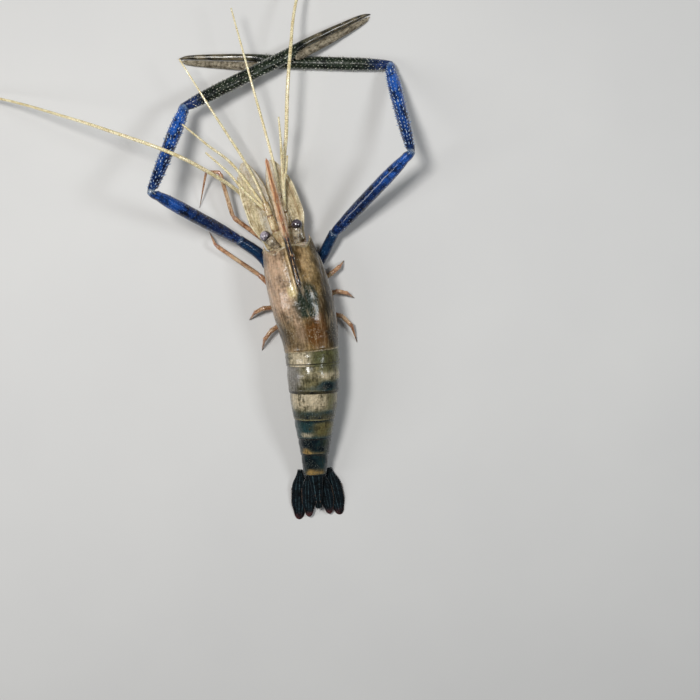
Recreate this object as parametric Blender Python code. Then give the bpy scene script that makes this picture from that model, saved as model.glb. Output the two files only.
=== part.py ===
"""Giant river prawn, a blue-clawed male, life size, lying on its belly with both great arms folded forward.

Metres, +Z up, floor at z = 0. The trunk follows a curved line on the floor through the origin, which is
the middle of the flat under the thorax. Trunk places are (s, x, z): s along that line towards the head,
x to the animal's right and z up, before the whole body leans a little to its right.
"""

import math
import random

import bmesh
import bpy
from mathutils import Matrix, Vector

GAP = 0.0003
MERGE_DISTANCE = 1e-7
UP = Vector((0, 0, 1))
SIDES = {"left": -1, "right": 1}

# The line that the trunk follows, and its lean
HEAD_HEADING = math.radians(14.5)
PLEON_HEADING = math.radians(1.5)
TAIL_HEADING = math.radians(7.0)
NECK_FRONT = -0.006
NECK_REAR = -0.042
TAIL_BEND_FRONT = -0.080
TAIL_BEND_REAR = -0.096
LEAN = math.radians(5.0)
LEAN_HEIGHT = 0.010
LINE_STEP = 0.0005

# Trunk outline along s: half width, back, belly plane
ORBIT_S = 0.0210
CARAPACE_REAR_S = -0.0270
HALF_WIDTH = (
    (-0.087, 0.0053), (-0.076, 0.0067), (-0.068, 0.0080), (-0.0585, 0.0096), (-0.046, 0.0114),
    (-0.0335, 0.0122), (-0.027, 0.0125), (-0.020, 0.0132), (-0.006, 0.0143), (0.0085, 0.0136),
    (0.021, 0.0115),
)
BACK = (
    (-0.087, 0.0125), (-0.076, 0.0176), (-0.064, 0.0235), (-0.052, 0.0278), (-0.040, 0.0296),
    (-0.027, 0.0292), (-0.014, 0.0310), (0.000, 0.0307), (0.012, 0.0288), (0.021, 0.0268),
)
BELLY = (
    (-0.087, 0.0056), (-0.076, 0.0072), (-0.064, 0.0090), (-0.050, 0.0105), (0.008, 0.0105), (0.021, 0.0115),
)
WIDEST_SHARE = 0.32
SIDE_FULLNESS = 0.92
BACK_FULLNESS = 0.88
FLAP_THICKNESS = 0.0011
TUCK = 0.10

# Carapace
CARAPACE_EDGE = 0.0062
CARAPACE_CUT_BACK = 0.0165
CARAPACE_REAR_RISE = 0.0022
CARAPACE_REAR_HOLLOW = 0.0022
CARAPACE_RISE_END = 0.25
CARAPACE_STEPS = 14

# Abdomen: rear end of each segment, lowest point of its side flaps, and how far its rear flap corner sweeps
PLEON_REAR_S = (-0.0335, -0.0460, -0.0585, -0.0680, -0.0760, -0.0860)
PLEON_EDGE = (0.0042, 0.0030, 0.0030, 0.0030, 0.0030, 0.0032)
PLEON_FLAP_SWEEP = (0.0028, -0.0030, -0.0014, -0.0012, -0.0010, 0.0046)
PLEON_SHARES = (0, 0.12, 0.35, 0.65, 0.88, 1)
TIER_STEP = 0.0005
TIER_FROM = 0.55
FLAP_END_SHARE = 0.30
FLAP_SQUARENESS = 2.6
FLAP_ROUNDNESS = 0.6

# Tail fan: each blade's root (behind the last segment, out, up), where its tip lies and how thick it is
TELSON_LENGTH = 0.0178
TELSON_HALF_WIDTH = 0.0036
TELSON_THICKNESS = 0.0022
TELSON_RISE = (0.0090, 0.0050)
EXOPOD_LENGTH = 0.0238
EXOPOD_HALF_WIDTH = 0.0037
EXOPOD_THICKNESS = 0.0011
EXOPOD_ROOT = (0.0010, 0.0068, 0.0034)
EXOPOD_TIP = {"left": (-0.0098, -0.0007), "right": (0.0098, 0.0011)}
ENDOPOD_LENGTH = 0.0215
ENDOPOD_HALF_WIDTH = 0.0031
ENDOPOD_THICKNESS = 0.0010
ENDOPOD_ROOT = (0.0030, 0.0050)
ENDOPOD_TIP = (0.0050, 0.0026)

# Thorax core and mouth
THORAX_REAR_S = -0.0262
THORAX_FRONT_S = 0.0180
THORAX_HALF_WIDTH = ((-0.0262, 0.0062), (-0.012, 0.0084), (0.006, 0.0084), (0.018, 0.0058))
THORAX_BOTTOM = -0.0014
MOUTH_RISE = 0.0062
MOUTH_RISE_FROM = 0.009
SOLE_SHARE = 0.60

# Rostrum
CREST_REAR_S = 0.0025
NOSE_ROOT_S = 0.0218
ROSTRUM_TIP_S = 0.0600
ROSTRUM_EDGE = 0.0003
KEEL_HEIGHT = 0.45
KEEL_SLOPE = 1.3
ROSTRUM_TOP = (
    (0.0025, 0.0308), (0.010, 0.0307), (0.021, 0.0291), (0.030, 0.0296), (0.040, 0.0294), (0.050, 0.0306),
    (0.060, 0.0334),
)
ROSTRUM_BOTTOM = ((NOSE_ROOT_S, 0.0236), (0.030, 0.0230), (0.040, 0.0249), (0.050, 0.0284), (0.060, 0.0328))
ROSTRUM_HALF_THICKNESS = (
    (0.0025, 0.0005), (0.021, 0.0009), (0.027, 0.0016), (0.042, 0.0014), (0.060, 0.0004),
)
ROSTRUM_LEAST_HEIGHT = 0.0004

# Eyes, which sit a little unevenly on their stalks
EYE_RADIUS = 0.00255
EYE_BACK_CUT = 0.0018
EYE_AT = {"left": (0.0272, -0.0086, 0.0205), "right": (0.0288, 0.0063, 0.0205)}
EYESTALK_ROOT = {"left": (-0.0050, 0.0203), "right": (0.0047, 0.0203)}
EYESTALK_RADIUS = 0.0022
EYESTALK_START = 0.0010
EYESTALK_MIDDLE = 0.6
EYESTALK_STATIONS = (0.8, 0.85, 0.95, 1.0)

# Antennal scales: root, tip, half width
SCALE_ROOT = {"left": (-0.0073, 0.0149), "right": (0.0068, 0.0149)}
SCALE_TIP = {"left": (0.0618, -0.0100, 0.0172), "right": (0.0600, 0.0022, 0.0168)}
SCALE_HALF_WIDTH = 0.0061
SCALE_THICKNESS = 0.0010

# Blades thin towards the tip and the edges by these shares
TIP_THINNING = 0.45
EDGE_THINNING = 0.5

# Feelers: each stem's stations are (share of its length, radius)
ANTENNULE_STEM = (
    (0, 0.0016), (0.1, 0.0021), (0.35, 0.0019), (0.40, 0.0016), (0.45, 0.0018), (0.68, 0.0016),
    (0.72, 0.0014), (0.76, 0.0015), (1, 0.0012),
)
ANTENNULE_FLATNESS = 0.72
ANTENNA_STEM = (
    (0, 0.0017), (0.08, 0.0020), (0.30, 0.0019), (0.36, 0.0016), (0.42, 0.0017), (0.7, 0.0016), (1, 0.0010),
)
WHIP_RADII = {
    "long": (0.00070, 0.00060, 0.00036),
    "middle": (0.00070, 0.00062, 0.00040),
    "short": (0.00068, 0.00062, 0.00044),
    "near": (0.0010, 0.00078),
    "far": (0.00078, 0.00036),
}
WHIP_POINTS = {"long": 12, "middle": 8, "short": 6, "near": 16, "far": 14}
MIDDLE_BACK = (0.0022, 0.0009)
SHORT_BACK = (0.0038, 0.0009)
ANTENNULE_ROOT = (0.0026, 0.0175)
ANTENNULE_END = {"left": (0.0420, -0.0048, 0.0185), "right": (0.0420, 0.0024, 0.0185)}
ANTENNA_ROOT = (0.0064, 0.0123)
ANTENNA_END = {"left": (0.0375, -0.0108, 0.0120), "right": (0.0375, 0.0082, 0.0115)}
ANTENNULE_LONG = {
    "left": ((-0.0221, 0.0555, 0.0190), (-0.0380, 0.0805, 0.0215), (-0.0521, 0.1028, 0.0215)),
    "right": ((-0.0108, 0.0582, 0.0190), (-0.0200, 0.0925, 0.0215), (-0.0290, 0.1253, 0.0200)),
}
ANTENNULE_MIDDLE = {
    "left": ((-0.0285, 0.0560, 0.0205), (-0.0395, 0.0648, 0.0245), (-0.0503, 0.0736, 0.0282)),
    "right": ((-0.0066, 0.0560, 0.0210), (-0.0071, 0.0680, 0.0245), (-0.0078, 0.0770, 0.0265)),
}
ANTENNULE_SHORT = {
    "left": ((-0.0235, 0.0445, 0.0202), (-0.0310, 0.0530, 0.0212), (-0.0408, 0.0617, 0.0218)),
    "right": ((-0.0058, 0.0480, 0.0215), (-0.0046, 0.0540, 0.0240), (-0.0040, 0.0600, 0.0265)),
}
ANTENNA_NEAR = {
    "left": (
        (-0.0262, 0.0440, 0.0139), (-0.0420, 0.0545, 0.0275), (-0.0572, 0.0618, 0.0342),
        (-0.0790, 0.0695, 0.0318),
    ),
    "right": (
        (-0.0063, 0.0512, 0.0130), (-0.0048, 0.0700, 0.0195), (-0.0040, 0.0892, 0.0220),
        (-0.0028, 0.1050, 0.0212),
    ),
}
ANTENNA_FAR = {
    "left": (
        (-0.1005, 0.0766, 0.0250), (-0.1334, 0.0862, 0.0110), (-0.1640, 0.0910, 0.0052),
        (-0.1900, 0.0900, 0.0030),
    ),
    "right": (
        (-0.0005, 0.1282, 0.0150), (0.0075, 0.1560, 0.0080), (0.0210, 0.1830, 0.0045),
        (0.0400, 0.2060, 0.0030),
    ),
}

# Great arms: joints from the ring at the end of the ischium to the fingertips, on the floor frame
ARM_ROOT_S = 0.0075
ARM_ROOT_Z = 0.0038
ARM_PASS = {"left": (-0.0173, 0.0154, 0.0056), "right": (0.0104, 0.0144, 0.0042)}
ARM_RING = {"left": (-0.0272, 0.0227, 0.0088), "right": (0.0165, 0.0259, 0.0086)}
ELBOW = {"left": (-0.0625, 0.0435, 0.0400), "right": (0.0507, 0.0614, 0.0300)}
WRIST = {"left": (-0.0502, 0.0822, 0.0180), "right": (0.0417, 0.1026, 0.0030)}
FINGERTIP = {"left": (0.0330, 0.1258, 0.0002), "right": (-0.0546, 0.1054, 0.0015)}
ISCHIUM_RADII = (0.0019, 0.0021, 0.0026, 0.0024)
MERUS_RADII = (0.0022, 0.0029, 0.0030, 0.0029, 0.0019)
CARPUS_RADII = (0.0019, 0.0027, 0.0029, 0.0031, 0.0023)
PALM_RADIUS = 0.0030
FINGER_RADIUS = 0.0016
PALM_FLATNESS = 0.90
STUB = 0.0016
LONG_LEAD = 0.0034
SHORT_LEAD = 0.0012
STRAIGHT_COSINE = 0.8
ARM_END_SHARE = 0.06

# The claw's shape: (share of its length from the wrist, share of the palm's radius or of a finger's)
PALM_STATIONS = ((0.035, 0.74), (0.09, 0.92), (0.20, 1.0), (0.35, 1.0), (0.50, 0.98), (0.57, 0.95))
FINGER_TAPER = (1.06, 1.0, 0.92, 0.76, 0.60, 0.46, 0.22)
FIXED_FINGER = ((0.60, 1.0), (0.65, 1.0), (0.75, 0.92), (0.85, 0.76), (0.93, 0.62), (0.97, 0.46), (1.0, 0.10))
MOVING_FINGER = (
    (0.602, 1.06), (0.65, 1.06), (0.75, 1.0), (0.85, 0.88), (0.93, 0.74), (0.97, 0.66), (0.99, 0.56),
)

# Walking legs and mouth limbs, whose joints are trunk places
LEG_Z = 0.0040
FIRST_LEG_S = 0.0152
FOOT_Z = 0.0001
FIRST_LEG = {
    "left": (
        (0.0240, -0.0078, 0.0060), (0.0395, -0.0205, 0.0080), (0.0605, -0.0210, 0.0118),
        (0.0625, -0.0270, 0.0080), (0.0480, -0.0345, 0.0),
    ),
    "right": (
        (0.0210, 0.0086, 0.0048), (0.0320, 0.0086, 0.0052), (0.0430, 0.0080, 0.0040), (0.0500, 0.0074, 0.0),
    ),
}
WALKING_LEG_S = {"third": 0.0020, "fourth": -0.0055, "fifth": -0.0130}
WALKING_LEG = {
    "third": {
        "left": (
            (0.0020, -0.0105, 0.0026), (0.0105, -0.0152, 0.0022), (0.0292, -0.0315, 0.0045),
            (0.0362, -0.0330, 0.0),
        ),
        "right": (
            (0.0015, 0.0120, 0.0036), (0.0035, 0.0175, 0.0066), (0.0055, 0.0215, 0.0064),
            (0.0075, 0.0245, 0.0),
        ),
    },
    "fourth": {
        "left": (
            (-0.0055, -0.0120, 0.0022), (-0.0045, -0.0180, 0.0046), (-0.0055, -0.0220, 0.0036),
            (-0.0085, -0.0255, 0.0),
        ),
        "right": (
            (-0.0058, 0.0120, 0.0034), (-0.0055, 0.0178, 0.0066), (-0.0075, 0.0218, 0.0064),
            (-0.0105, 0.0248, 0.0),
        ),
    },
    "fifth": {
        "left": (
            (-0.0140, -0.0112, 0.0022), (-0.0165, -0.0170, 0.0046), (-0.0205, -0.0205, 0.0036),
            (-0.0270, -0.0225, 0.0),
        ),
        "right": (
            (-0.0140, 0.0115, 0.0034), (-0.0165, 0.0170, 0.0066), (-0.0210, 0.0205, 0.0064),
            (-0.0280, 0.0225, 0.0),
        ),
    },
}
LEG_RADII = (0.0012, 0.0012, 0.0011, 0.00095, 0.00035)
LEG_STUB = 0.0014
JOINT_NARROWING = 0.84
LENGTH_STATIONS = ((0.14, 0.96), (0.5, 1.0), (0.86, 0.96))
FIRST_LEG_RADII = (0.0011, 0.0011, 0.0010, 0.0008, 0.0004)
FIRST_LEG_RISE = 0.0010
WALKING_LEG_DROP = 0.0008
COXA_CLEARANCE = 1.8 * GAP
FIRST_COXA_CLEARANCE = 2.4 * GAP
MAXILLIPED = ((0.0290, 0.0042, 0.0058), (0.0370, 0.0052, 0.0060), (0.0460, 0.0048, 0.0066))
MAXILLIPED_ROOT = (0.0026, 0.0070)
MAXILLIPED_RADII = (0.0014, 0.0013, 0.0010, 0.0004)

# Swimming legs
PLEOPOD_SLOPE = math.radians(34)
PLEOPOD_LENGTH = (0.0135, 0.0140, 0.0135, 0.0105, 0.0080)
PLEOPOD_HALF_WIDTH = (0.0034, 0.0034, 0.0027, 0.0021, 0.0015)
PLEOPOD_THICKNESS = 0.0010
PLEOPOD_PART = 0.0007
PLEOPOD_DROP = 0.0009
PLEOPOD_SHARE = 0.30

# Spines and teeth: (length, base radius) of each size, and how they vary
SEED = 7
SPINE_SIZE = {"merus": (0.0009, 0.00042), "carpus": (0.0011, 0.00046), "palm": (0.0012, 0.00048)}
SPINE_ROWS = {"merus": (-8, 42, 94, 146), "carpus": (-12, 38, 90, 142), "palm": (0, 38, 90, 142, 180)}
SPINE_SPACING = {"merus": 0.0046, "carpus": 0.0044, "palm": 0.0050}
SPINE_START = 0.3
SPINE_STAGGER = 0.4
SPINE_SHIFT = 0.18
SPINE_TURN = 7
SPINE_LEAN = 0.8
FACET_SHARE = 0.93
SPINE_DEPTH = 0.0007
SPINE_VARIES = 0.25
SPINE_CLEARANCE = 0.0005
TEETH_ABOVE = 12
TEETH_ABOVE_S = (0.0060, 0.0565)
TEETH_BELOW = 10
TEETH_BELOW_S = (0.0270, 0.0555)
TEETH_CROWD = 1.2
TOOTH_SIZE = {"above": (0.0014, 0.0012), "below": (0.0011, 0.0010)}
TOOTH_HALF_THICKNESS = 0.00045
TOOTH_LEAN = 1.2
TOOTH_SHRINK = 0.5
TOOTH_THINNING = 0.4
TOOTH_DEPTH = 0.00045
ANTENNAL_SPINE = ((0.0195, 0.0106, 0.0182), 0.0040, 0.00060, 0)
HEPATIC_SPINE = ((0.0150, 0.0111, 0.0146), 0.0034, 0.00055, 0.36)

COLOURS = {
    "shell": (0.30, 0.27, 0.15, 1),
    "rust": (0.55, 0.27, 0.10, 1),
    "tail": (0.03, 0.07, 0.10, 1),
    "blue": (0.03, 0.09, 0.38, 1),
    "claw": (0.03, 0.06, 0.05, 1),
    "felt": (0.33, 0.24, 0.15, 1),
    "leg": (0.62, 0.44, 0.30, 1),
    "feeler": (0.78, 0.68, 0.42, 1),
    "scale": (0.60, 0.54, 0.36, 1),
    "eye": (0.03, 0.02, 0.03, 1),
}


def clear_scene():
    for thing in list(bpy.data.objects):
        bpy.data.objects.remove(thing, do_unlink=True)


def smoothstep(low, high, value):
    t = min(1.0, max(0.0, (value - low) / (high - low)))
    return t * t * (3 - 2 * t)


def curve_through(stations, at):
    """The value at `at` of a smooth curve through (place, value) stations, level beyond their ends."""
    if at <= stations[0][0]:
        return stations[0][1]
    if at >= stations[-1][0]:
        return stations[-1][1]
    i = max(k for k in range(len(stations) - 1) if stations[k][0] <= at)
    (x0, y0), (x1, y1) = stations[i], stations[i + 1]
    chord = (y1 - y0) / (x1 - x0)
    before = (y0 - stations[i - 1][1]) / (x0 - stations[i - 1][0]) if i else chord
    after = (stations[i + 2][1] - y1) / (stations[i + 2][0] - x1) if i + 2 < len(stations) else chord
    slope0 = (before + chord) / 2
    slope1 = (chord + after) / 2
    t = (at - x0) / (x1 - x0)
    h = x1 - x0
    return (
        (2 * t**3 - 3 * t**2 + 1) * y0 + (t**3 - 2 * t**2 + t) * h * slope0
        + (3 * t**2 - 2 * t**3) * y1 + (t**3 - t**2) * h * slope1
    )


def heading(s):
    """Angle between the trunk's line and +Y, turning towards -X, at s."""
    to_pleon = smoothstep(NECK_REAR, NECK_FRONT, s)
    to_tail = 1 - smoothstep(TAIL_BEND_REAR, TAIL_BEND_FRONT, s)
    head = (HEAD_HEADING - PLEON_HEADING) * to_pleon
    tail = (TAIL_HEADING - PLEON_HEADING) * to_tail
    return PLEON_HEADING + head + tail


def trunk_line(s):
    """The point of the trunk's line on the floor at s, by walking along it from the origin."""
    steps = max(1, math.ceil(abs(s) / LINE_STEP))
    point = Vector((0, 0, 0))
    for k in range(steps):
        angle = heading(s * (k + 0.5) / steps)
        point += Vector((-math.sin(angle), math.cos(angle), 0)) * (s / steps)
    return point


def trunk_frame(s):
    """Matrix from (x, forward, z) about the trunk's line at s to the floor frame, with the lean."""
    turn = Matrix.Rotation(heading(s), 4, "Z")
    lean = Matrix.Rotation(LEAN, 4, "Y")
    lift = Matrix.Translation((0, 0, LEAN_HEIGHT))
    return Matrix.Translation(trunk_line(s)) @ turn @ lift @ lean @ lift.inverted()


def on_trunk(s, x, z):
    return trunk_frame(s) @ Vector((x, 0, z))


def colour_of(name):
    material = bpy.data.materials.get(name)
    if material is None:
        material = bpy.data.materials.new(name)
        material.use_nodes = True
        shader = material.node_tree.nodes["Principled BSDF"]
        shader.inputs["Base Color"].default_value = COLOURS[name]
        shader.inputs["Roughness"].default_value = 0.35
        shader.inputs["Metallic"].default_value = 0.0
        material.diffuse_color = COLOURS[name]
    return material


def finish(name, bm, colour):
    """Cuts off what lies below the floor, turns the faces outward and makes the named object."""
    cut = bmesh.ops.bisect_plane(
        bm, geom=bm.verts[:] + bm.edges[:] + bm.faces[:], plane_co=(0, 0, 0), plane_no=UP,
        clear_inner=True, dist=MERGE_DISTANCE,
    )
    rim = [e for e in cut["geom_cut"] if isinstance(e, bmesh.types.BMEdge) and e.is_boundary]
    if rim:
        bmesh.ops.holes_fill(bm, edges=rim, sides=0)
    bmesh.ops.triangulate(bm, faces=[f for f in bm.faces if len(f.verts) > 4])
    bmesh.ops.recalc_face_normals(bm, faces=bm.faces[:])
    if bm.calc_volume(signed=True) < 0:
        bmesh.ops.reverse_faces(bm, faces=bm.faces[:])
    mesh = bpy.data.meshes.new(name)
    bm.to_mesh(mesh)
    bm.free()
    mesh.materials.append(colour_of(colour))
    mesh.shade_smooth()
    mesh.set_sharp_from_angle(angle=math.radians(45))
    piece = bpy.data.objects.new(name, mesh)
    bpy.context.scene.collection.objects.link(piece)
    return piece


def sheet(name, colour, us, vs, outer, inner):
    """A closed plate: a grid of triangles on outer(u, v), its copy on inner(u, v), and the rim between."""
    bm = bmesh.new()
    bmesh.ops.create_grid(bm, x_segments=len(us) - 1, y_segments=len(vs) - 1, size=1)
    bmesh.ops.triangulate(bm, faces=bm.faces[:], quad_method="FIXED")
    under = set(bm.verts)
    bmesh.ops.extrude_face_region(bm, geom=bm.faces[:])
    for vert in bm.verts:
        u = us[round((vert.co.x + 1) / 2 * (len(us) - 1))]
        v = vs[round((vert.co.y + 1) / 2 * (len(vs) - 1))]
        vert.co = inner(u, v) if vert in under else outer(u, v)
    return finish(name, bm, colour)


def limb(name, colour, path, radii, sides=6, flatness=1.0, start=None, end=None):
    """A closed tube through the path's points: a disc, extruded from ring to ring.

    start and end turn its two ends.
    """
    bm = bmesh.new()
    frames = []
    for i, point in enumerate(path):
        ahead = (path[min(i + 1, len(path) - 1)] - point).normalized()
        behind = (point - path[max(i - 1, 0)]).normalized()
        along = (ahead + behind).normalized()
        if i == 0 and start:
            along = start
        if i == len(path) - 1 and end:
            along = end
        side = along.cross(UP).normalized()
        rise = side.cross(along)
        ring = Matrix((side * radii[i], rise * radii[i] * flatness, along * radii[i])).transposed().to_4x4()
        frames.append(Matrix.Translation(point) @ ring)
    disc = bmesh.ops.create_circle(bm, cap_ends=True, segments=sides, radius=1, matrix=frames[0])
    tip = disc["verts"][0].link_faces[0]
    base = tip
    for before, after in zip(frames, frames[1:]):
        grown = bmesh.ops.extrude_face_region(bm, geom=[tip])["geom"]
        if tip is not base:
            bmesh.ops.delete(bm, geom=[tip], context="FACES_ONLY")
        tip = next(g for g in grown if isinstance(g, bmesh.types.BMFace))
        bmesh.ops.transform(bm, matrix=after @ before.inverted(), verts=tip.verts[:])
    return finish(name, bm, colour)


def smooth_path(points, count):
    """Evenly numbered points on a smooth curve through the given ones."""
    knots = list(range(len(points)))
    axes = [[(k, p[axis]) for k, p in zip(knots, points)] for axis in range(3)]
    steps = [i * knots[-1] / (count - 1) for i in range(count)]
    return [Vector([curve_through(stations, t) for stations in axes]) for t in steps]


def even(values, count):
    """The values stretched to `count` by a smooth curve."""
    stations = [(i / (len(values) - 1), v) for i, v in enumerate(values)]
    return [curve_through(stations, i / (count - 1)) for i in range(count)]


# Trunk shell
ARCH = 4
FLANK = 5
FLAP = 7
AROUND = [w for w in range(-FLAP, FLAP + 1)]


def section(w, half_width, back, belly, edge):
    """(x, z) outside and inside the shell at w: 0 on the back, ARCH at the widest, FLAP at the flap's edge.
    """
    side = 1 if w > 0 else -1
    w = abs(w)
    widest = belly + WIDEST_SHARE * (back - belly)

    def flank(z):
        return half_width * (1 - TUCK * ((widest - z) / (widest - edge)) ** 2)

    if w <= ARCH:
        angle = math.pi / 2 * w / ARCH
        x = half_width * math.sin(angle) ** SIDE_FULLNESS
        z = widest + (back - widest) * max(0.0, math.cos(angle)) ** BACK_FULLNESS
    elif w <= FLANK:
        z = widest + (belly - widest) * (w - ARCH) / (FLANK - ARCH)
        x = flank(z)
    else:
        z = belly + (edge - belly) * (w - FLANK) / (FLAP - FLANK)
        x = flank(z)
    inner_x = min(w, FLANK) / FLANK * (flank(belly) - FLAP_THICKNESS)
    inner_z = belly
    if w > FLANK:
        inner_x = x - FLAP_THICKNESS
        inner_z = z
    return (side * x, z), (side * inner_x, inner_z)


def sweep_at(sweep, belly, edge, z):
    """How far a flap's margin lies ahead of its plane at height z: none at the belly, `sweep` at the edge."""
    return sweep * min(1.0, max(0.0, (belly - z) / (belly - edge)))


def shell_segment(name, colour, front, rear, edge_at, front_sweep, rear_sweep, shares, step=0.0):
    """One shell ring from s = rear to front, with side flaps hanging to edge_at(share)."""
    front = front - GAP / 2
    rear = rear + GAP / 2

    def place(u, w, inside):
        s = rear + (front - rear) * u
        inset = step * smoothstep(TIER_FROM, 1.0, u)
        belly = curve_through(BELLY, s)
        points = section(
            w, curve_through(HALF_WIDTH, s) - inset, curve_through(BACK, s) - inset, belly, edge_at(u)
        )
        x, z = points[1 if inside else 0]
        lowest = min(edge_at(0.5), belly - 0.001)
        shift = (1 - u) * sweep_at(rear_sweep, belly, lowest, z) + u * sweep_at(front_sweep, belly, lowest, z)
        return on_trunk(s + shift, x, z)

    return sheet(
        name, colour, shares, AROUND, lambda u, w: place(u, w, False), lambda u, w: place(u, w, True)
    )


def make_carapace():
    def edge_at(u):
        rear_rise = CARAPACE_REAR_RISE * (1 - smoothstep(0.0, CARAPACE_RISE_END, u))
        return CARAPACE_EDGE + rear_rise

    carapace = shell_segment(
        "carapace", "shell", ORBIT_S, CARAPACE_REAR_S, edge_at, -CARAPACE_CUT_BACK, CARAPACE_REAR_HOLLOW,
        [i / CARAPACE_STEPS for i in range(CARAPACE_STEPS + 1)],
    )
    spines = []
    for sign in SIDES.values():
        for (s, x, z), length, radius, splay in (ANTENNAL_SPINE, HEPATIC_SPINE):
            frame = trunk_frame(s)
            reach = frame.to_3x3() @ Vector((sign * splay, 1, 0)).normalized() * length
            root = frame @ Vector((sign * x, 0, z))
            across = reach.cross(UP).normalized() * radius
            spines.append(spine("shell", root, root + reach, UP * radius, across))
    fuse(carapace, spines)


def make_pleon():
    front = CARAPACE_REAR_S
    front_sweep = CARAPACE_REAR_HOLLOW
    for number, (rear, edge, rear_sweep) in enumerate(zip(PLEON_REAR_S, PLEON_EDGE, PLEON_FLAP_SWEEP), 1):
        def edge_at(u, edge=edge, rear=rear, front=front):
            belly = curve_through(BELLY, rear + (front - rear) * u)
            fullness = max(0.0, 1 - abs(2 * u - 1) ** FLAP_SQUARENESS) ** FLAP_ROUNDNESS
            lobe = FLAP_END_SHARE + (1 - FLAP_END_SHARE) * fullness
            return belly - (belly - edge) * lobe

        colour = "tail" if number > 3 else "shell"
        shell_segment(
            f"pleon_{number}", colour, front, rear, edge_at, front_sweep, rear_sweep, PLEON_SHARES,
            step=TIER_STEP,
        )
        front = rear
        front_sweep = rear_sweep


def make_thorax():
    """The flesh below the carapace, flat where it rests on the floor and rising to the mouth."""
    ss = [THORAX_REAR_S + (THORAX_FRONT_S - THORAX_REAR_S) * i / 10 for i in range(11)]

    def half_width(s):
        return curve_through(THORAX_HALF_WIDTH, s)

    def top(s, v):
        return on_trunk(s, v * half_width(s), curve_through(BELLY, s) - GAP)

    def bottom(s, v):
        rise = MOUTH_RISE * smoothstep(MOUTH_RISE_FROM, THORAX_FRONT_S, s)
        return on_trunk(s, v * half_width(s) * SOLE_SHARE, THORAX_BOTTOM + rise)

    return sheet("thorax", "leg", ss, (-1, -0.5, 0, 0.5, 1), top, bottom)


def thorax_side(s, side, z, clear=COXA_CLEARANCE):
    """The point just outside the thorax's slanting side at s and z, and that side's outward direction."""
    rise = MOUTH_RISE * smoothstep(MOUTH_RISE_FROM, THORAX_FRONT_S, s)
    low = THORAX_BOTTOM + rise
    high = curve_through(BELLY, s) - GAP
    wide = curve_through(THORAX_HALF_WIDTH, s)
    x = wide * (SOLE_SHARE + (1 - SOLE_SHARE) * (z - low) / (high - low))
    slant = Vector((high - low, 0, -(1 - SOLE_SHARE) * wide)).normalized()
    outward = Vector((side * slant.x, 0, slant.z))
    frame = trunk_frame(s)
    return frame @ (Vector((side * x, 0, z)) + outward * clear), (frame.to_3x3() @ outward).normalized()


def make_rostrum():
    """A blade with a keel along each side, running back over the carapace as its crest."""
    crest = [CREST_REAR_S + (ORBIT_S + GAP - CREST_REAR_S) * i / 7 for i in range(8)]
    nose = [NOSE_ROOT_S + (ROSTRUM_TIP_S - NOSE_ROOT_S) * i / 12 for i in range(13)]

    def place(s, v, side):
        low = curve_through(ROSTRUM_BOTTOM, s) if s >= nose[0] else curve_through(BACK, s) + GAP
        high = max(curve_through(ROSTRUM_TOP, s), low + ROSTRUM_LEAST_HEIGHT)
        keel = max(0.0, 1 - abs(2 * (v - KEEL_HEIGHT)) ** KEEL_SLOPE)
        thick = ROSTRUM_EDGE + curve_through(ROSTRUM_HALF_THICKNESS, s) * keel
        return on_trunk(s, side * thick, low + (high - low) * v)

    rostrum = sheet(
        "rostrum", "rust", crest + nose, (0, 0.25, 0.5, 0.75, 1),
        lambda s, v: place(s, v, 1), lambda s, v: place(s, v, -1),
    )
    rng = random.Random(SEED)
    teeth = []
    for row, count, (first, last), edge, sign in (
        ("above", TEETH_ABOVE, TEETH_ABOVE_S, ROSTRUM_TOP, 1),
        ("below", TEETH_BELOW, TEETH_BELOW_S, ROSTRUM_BOTTOM, -1),
    ):
        length, half_base = TOOTH_SIZE[row]
        for k in range(count):
            share = (k / (count - 1)) ** TEETH_CROWD
            s = first + (last - first) * share
            size = (1 - TOOTH_SHRINK * share) * rng.uniform(1 - SPINE_VARIES / 2, 1 + SPINE_VARIES / 2)
            frame = trunk_frame(s)
            turn = frame.to_3x3()
            root = frame @ Vector((0, 0, curve_through(edge, s) - sign * TOOTH_DEPTH))
            tip = root + turn @ Vector((0, length * size * TOOTH_LEAN, sign * (length * size + TOOTH_DEPTH)))
            across = turn @ Vector((TOOTH_HALF_THICKNESS * (1 - TOOTH_THINNING * share), 0, 0))
            teeth.append(spine("rust", root, tip, turn @ Vector((0, half_base * size, 0)), across))
    fuse(rostrum, teeth)


def leaf(name, colour, root, tip, half_width, thickness, shape, along=7):
    """A thin blade from root to tip: its half width at t is half_width * shape(t)."""
    axis = tip - root
    side = axis.cross(UP).normalized()
    up = side.cross(axis).normalized()
    shares = [i / along for i in range(along + 1)]

    def place(t, v, face):
        lens = thickness * (1 - TIP_THINNING * t) * (1 - EDGE_THINNING * v * v)
        return root + axis * t + side * (v * half_width * shape(t)) + up * (face * lens / 2)

    return sheet(
        name, colour, shares, (-1, -0.5, 0, 0.5, 1), lambda t, v: place(t, v, 1), lambda t, v: place(t, v, -1)
    )


def blade_shape(t):
    """Half width of an oval blade with a narrow root, as a share of its widest."""
    return 0.34 + 0.66 * smoothstep(0, 0.35, t) - 0.62 * smoothstep(0.62, 1.0, t)


def telson_shape(t):
    return 1 - 0.62 * t


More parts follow.
